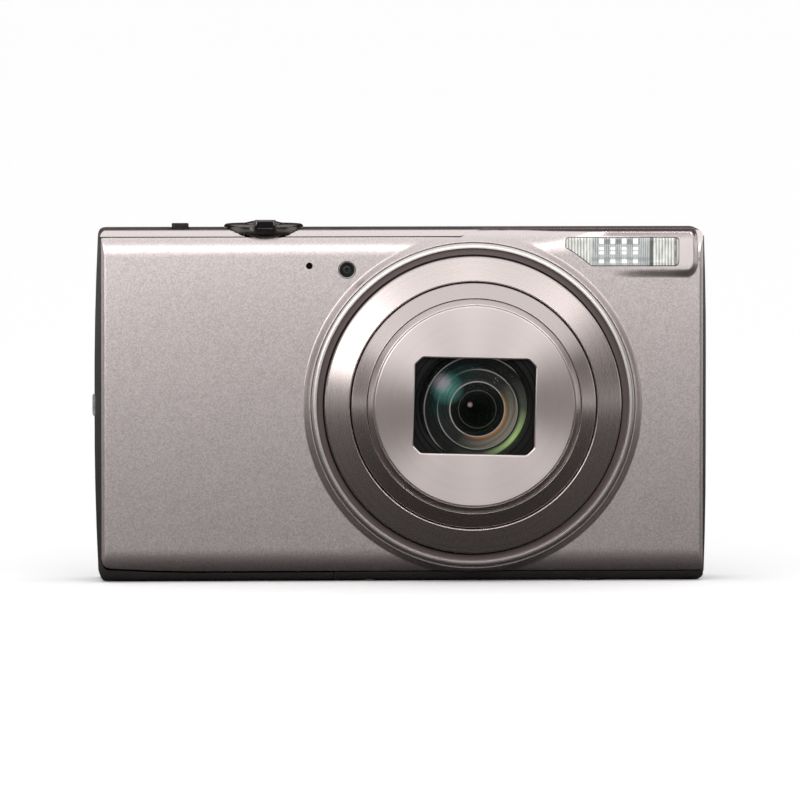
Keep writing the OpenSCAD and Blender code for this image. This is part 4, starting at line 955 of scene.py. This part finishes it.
# The lamp and the microphone: the lamp is a smoked lens in a thin bright ring, snapped in from
# behind, and black felt shows in the microphone's hole.
RING_GREY = (0.80, 0.76, 0.74)
smoked, wire = finish("smoked lamp lens")
radius = from_axis(wire)
rings = wire.add("ValToRGB", {"stops": [
    (0.0, tone(0.004)), (0.24, tone(0.005)), (0.36, tone(0.05, 0.043, 0.045)), (0.46, tone(0.004)),
    (0.72, tone(0.003)), (0.80, tone(0.03, 0.027, 0.027)), (0.86, tone(0.003)), (0.885, tone(0.003)),
    (0.90, tone(*RING_GREY)), (1.0, tone(*RING_GREY))]}, {0: radius / 1.4})
surface(wire, {"Base Color": rings, "Metallic": radius.over(1.24, 1.26), "Roughness": 0.3,
               "Specular IOR Level": 0.2}, mottle(wire, 0.0003), 0.000002)
turned("lamp_finished", "camera_body", ["lamp_lens"],
       [(1.33, 3.3), (1.38, 5.47), (1.33, 5.56), (1.25, 5.5), (1.22, 5.25), (1.05, 5.1), (0.9, 5.16),
        (0.75, 5.1), (0.5, 5.2), (0.34, 5.28), (0.2, 5.2), (0, 5.18)],
       smoked, 0.03, 64, LAMP)
felt = grained("black felt", 0.00008, (0.002, 0.002, 0.002), (0.008, 0.008, 0.008), 1.0, 0.0, 0.00002,
               metal=0.0, shine=0.1, detail=3)
turned("microphone_felt", "camera_body", [], [(0.62, 4.2), (0.62, 4.6), (0, 4.62)],
       felt, 0.02, 32, MIC)


# The side frame, the back and the base: dark moulded plastic with a fine dull grain. The
# pieces are the CAD's own, with their edges eased so that the seams between them show. The
# strap lug is plated steel, and the tripod socket is of blackened brass.
def cast(node, round_by, material):
    """A copy of a CAD piece with welded corners and rounded edges, which stands for it."""
    work = bmesh.new()
    work.from_mesh(frame["nodes"][node].data)
    bmesh.ops.remove_doubles(work, verts=work.verts, dist=2e-6)
    bmesh.ops.dissolve_limit(work, angle_limit=math.radians(0.5), verts=work.verts, edges=work.edges)
    for face in work.faces:
        face.smooth = True
    data = bpy.data.meshes.new(node + "_finished")
    work.to_mesh(data)
    work.free()
    draft = bpy.data.objects.new("draft", data)
    scene.collection.objects.link(draft)
    bevel = draft.modifiers.new("rounding", "BEVEL")
    bevel.width = round_by
    bevel.segments = 2
    bevel.limit_method = "ANGLE"
    bevel.angle_limit = math.radians(30)
    draft.modifiers.new("flats", "WEIGHTED_NORMAL").keep_sharp = True
    bpy.context.view_layer.update()
    shaped = bpy.data.meshes.new_from_object(draft.evaluated_get(bpy.context.evaluated_depsgraph_get()))
    bpy.data.objects.remove(draft)
    return piece_of(node + "_finished", shaped, frame["nodes"][node]["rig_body"], [node], material)


side_plastic = moulded("dark side frame", (0.013, 0.0115, 0.011), (0.02, 0.018, 0.0175), 0.42,
                       0.0002, 0.000003)
back_plastic = moulded("dark back cover", (0.02, 0.0185, 0.018), (0.032, 0.030, 0.029), 0.5,
                       0.00025, 0.000008)
base_plastic = moulded("dark base", (0.016, 0.014, 0.0135), (0.024, 0.021, 0.020), 0.4, 0.0002, 0.000004)
for node in ("side_band_left", "side_band_right", "terminal_cover"):
    cast(node, 0.00008, side_plastic)
cast("rear_cover", 0.0001, back_plastic)
for node in ("bottom_cover", "battery_door"):
    cast(node, 0.0001, base_plastic)
dress(steel_sheet, "strap_lug")
dress(grained("turned brass", 0.0002, (0.05, 0.047, 0.045), (0.08, 0.075, 0.07), 0.22, 0.12, 0.000003,
              stretch=(1, 1, 0.1)), "tripod_socket")


# The back: a glossy black cover glued over the screen, keys of dark satin metal that rise
# through holes in the back, and a small frosted lamp beside them.
SCREEN_X0, SCREEN_X1, SCREEN_Z0, SCREEN_Z1 = -15.6, 43.4, 6.6, 51.0
gloss_black, wire = finish("screen cover")
panel = (coordinate(wire, 0).band(SCREEN_X0, SCREEN_X0 + 0.1, SCREEN_X1, SCREEN_X1 + 0.1) *
         coordinate(wire, 2).band(SCREEN_Z0, SCREEN_Z0 + 0.1, SCREEN_Z1, SCREEN_Z1 + 0.1))
surface(wire, {"Base Color": panel.mixed(tone(0.004), tone(0.012, 0.013, 0.016)), "Coat Weight": 1.0,
               "Roughness": 0.05 + mottle(wire, 0.004) * 0.03, "Coat Roughness": 0.02})
cast("screen_glass", 0.00015, gloss_black)

key_metal = grained("satin dark keys", 0.0002, (0.09, 0.085, 0.083), (0.13, 0.122, 0.118), 0.28, 0.1,
                    0.000003, metal=0.8)
keys = {node: cast(node, 0.0001, key_metal) for node in (
    "playback_button", "movie_button", "menu_button", "info_button", "set_button", "nav_pad")}
dress(inner_plastic, "nav_pivot")
dress(grained("status lamp plastic", 0.0004, (0.25, 0.30, 0.28), (0.42, 0.48, 0.45), 0.15, 0.1, metal=0.0),
      "status_lamp")
dress(coated, "second_glass")


# The marks on the keys: plain symbols in pale ink, and a red dot on the movie key. Each is an
# inlay 0.1 mm thick, let into the key's face and ridden on the same body as the key.
pale_ink = grained("pale mark ink", 0.0003, (0.5, 0.5, 0.49), (0.62, 0.62, 0.6), 0.5, 0.1, metal=0.0)
red_ink = grained("red mark ink", 0.0003, (0.42, 0.02, 0.015), (0.55, 0.035, 0.025), 0.45, 0.1, metal=0.0)


def inlay(name, node, outlines, material):
    """Flat marks on a key, from outlines in millimetres seen from behind the camera."""
    corners = [v.co for v in keys[node].data.vertices]
    middle = [(min(c[i] for c in corners) + max(c[i] for c in corners)) / 2 for i in (0, 2)]
    back = max(c.y for c in corners)
    places, faces = [], []
    for outline in outlines:
        first, count = len(places), len(outline)
        places += [(middle[0] - a * millimetre, back + y * millimetre, middle[1] + b * millimetre)
                   for y in (0.02, -0.08) for a, b in outline]
        faces.append(tuple(range(first, first + count)))
        faces.append(tuple(reversed(range(first + count, first + 2 * count))))
        for i in range(count):
            k = (i + 1) % count
            faces.append((first + i, first + count + i, first + count + k, first + k))
    mesh = bpy.data.meshes.new(name)
    mesh.from_pydata(places, [], faces)
    piece_of(name, mesh, frame["nodes"][node]["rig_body"], [], material)


def bar_of(half, middle, rise):
    return [(-half, middle - rise), (half, middle - rise), (half, middle + rise), (-half, middle + rise)]


inlay("playback_mark", "playback_button", [[(-0.7, -0.9), (0.95, 0), (-0.7, 0.9)]], pale_ink)
inlay("movie_mark", "movie_button", [circle_of(0.75, 32)], red_ink)
inlay("menu_mark", "menu_button", [bar_of(0.9, z, 0.14) for z in (-0.6, 0, 0.6)], pale_ink)
inlay("info_mark", "info_button", [bar_of(0.9, 0, 0.65)], pale_ink)
PAD_MARK = 6.0
flash_bolt = ((0.05, 0.75), (-0.35, -0.1), (-0.05, -0.1), (-0.15, -0.75), (0.35, 0.15), (0.05, 0.15))
inlay("pad_marks", "nav_pad", [
    bar_of(0.55, PAD_MARK, 0.15),
    [(a - PAD_MARK, b) for a, b in ((-0.5, 0), (0, -0.5), (0.5, 0), (0, 0.5))],
    [(a + PAD_MARK, b) for a, b in flash_bolt],
    [(a, b - PAD_MARK) for a, b in ((-0.6, 0.35), (0, -0.45), (0.6, 0.35))]], pale_ink)


# The top: the painted top cover with its sunk deck, a dark chromed zoom lever round the shutter
# button, a power button and a small ridged mode knob.
cast("top_cover", 0.00012, flake_paint)

TAB_X, TAB_HALF, TAB_Z0, TAB_Z1 = -22.3, 1.3, 57.45, 58.5
dark_chrome, wire = finish("smoked chrome")
haze = mottle(wire, 0.0006)
# The finger tab's face is painted near black: painted shade in place of its reflection.
tab_painted_shade = (coordinate(wire, 0).near(TAB_X, TAB_HALF, TAB_HALF + 0.1) *
            coordinate(wire, 2).band(TAB_Z0, TAB_Z0 + 0.1, TAB_Z1, TAB_Z1 + 0.1))
chrome = haze.mixed(tone(0.12, 0.11, 0.106), tone(0.17, 0.155, 0.15))
surface(wire, {"Base Color": (tab_painted_shade * 0.92).mixed(chrome, tone(0.008)), "Metallic": 1.0,
               "Roughness": 0.14 + haze * 0.08}, haze, 0.000002)
cast("zoom_lever", 0.00008, dark_chrome)
cast("shutter_button", 0.00008, dark_chrome)
cast("power_button", 0.00006, dark_chrome)
black_chrome = grained("black chrome", 0.0004, (0.022, 0.02, 0.019), (0.04, 0.036, 0.035), 0.2, 0.1, 0.000002)
cast("mode_switch", 0.0005, black_chrome)


# How far the finished pieces show from the photograph's points, by the corners of their own
# meshes that the camera can see.
bpy.context.view_layer.update()
stood_for = {node for o in scene.objects for node in o.get("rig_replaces", [])}
shown_pieces = [o for o in scene.objects if o.type == "MESH" and not o.hide_render and o.name not in stood_for
                and o is not floor and o.name != "front_glass_finished"]
all_places, all_faces = [], []
for piece in shown_pieces:
    first = len(all_places)
    all_places += [piece.matrix_world @ v.co for v in piece.data.vertices]
    all_faces += [[first + i for i in face.vertices] for face in piece.data.polygons]
everything = BVHTree.FromPolygons(all_places, all_faces)
eye = camera.matrix_world.translation


def seen(names, keep):
    """Pixels of the corners of some pieces that nothing hides."""
    pixels = []
    for piece in shown_pieces:
        if piece.name not in names:
            continue
        for v in piece.data.vertices:
            place = piece.matrix_world @ v.co
            if keep(place * 1000):
                way = place - eye
                hit = everything.ray_cast(eye, way.normalized())[3]
                if hit is None or hit > way.length - 0.0002:
                    pixels.append(pixel_of(place))
    return pixels


def off_axis(p):
    return math.dist((p.x, p.z), LENS)


shell = ("front_cover", "side_band_left", "side_band_right", "rear_cover", "bottom_cover", "battery_door",
         "top_cover")
outline = seen([node + "_finished" for node in shell], lambda p: abs(p.x) > 47 or p.z < 2 or p.z > 56.5)
deviations = {"left edge": [min(x for x, _ in outline) - points["left edge"][0], None],
              "right edge": [max(x for x, _ in outline) - points["right edge"][0], None],
              "top edge": [None, min(y for _, y in outline) - points["top edge"][1]],
              "bottom edge": [None, max(y for _, y in outline) - points["bottom edge"][1]]}
for name, piece, keep in (
        ("bezel", "bezel_finished", lambda p: off_axis(p) > 26.3),
        ("front plate", "front_plate_finished", lambda p: off_axis(p) > 16),
        ("front glass", "lens_stack", lambda p: 4.3 < off_axis(p) < 4.45),
        ("microphone", "microphone_felt", lambda p: True),
        ("lamp", "lamp_finished", lambda p: True),
        ("flash window", "flash_window_finished", lambda p: True),
        ("strap lug", "strap_lug", lambda p: True),
        ("finger tab", "zoom_lever_finished", lambda p: abs(p.x - TAB_X) < 1.9 and p.z > 57.5 and p.y < -3),
        ("mode knob", "mode_switch_finished", lambda p: p.z > 57.4)):
    pixels = seen([piece], keep)
    if pixels:
        deviations[name] = [(min(c) + max(c)) / 2 - want for c, want in zip(zip(*pixels), points[name])]
deviations = {name: [None if d is None else round(d, 2) for d in pair] for name, pair in deviations.items()}

scene.view_settings.view_transform = "Standard"
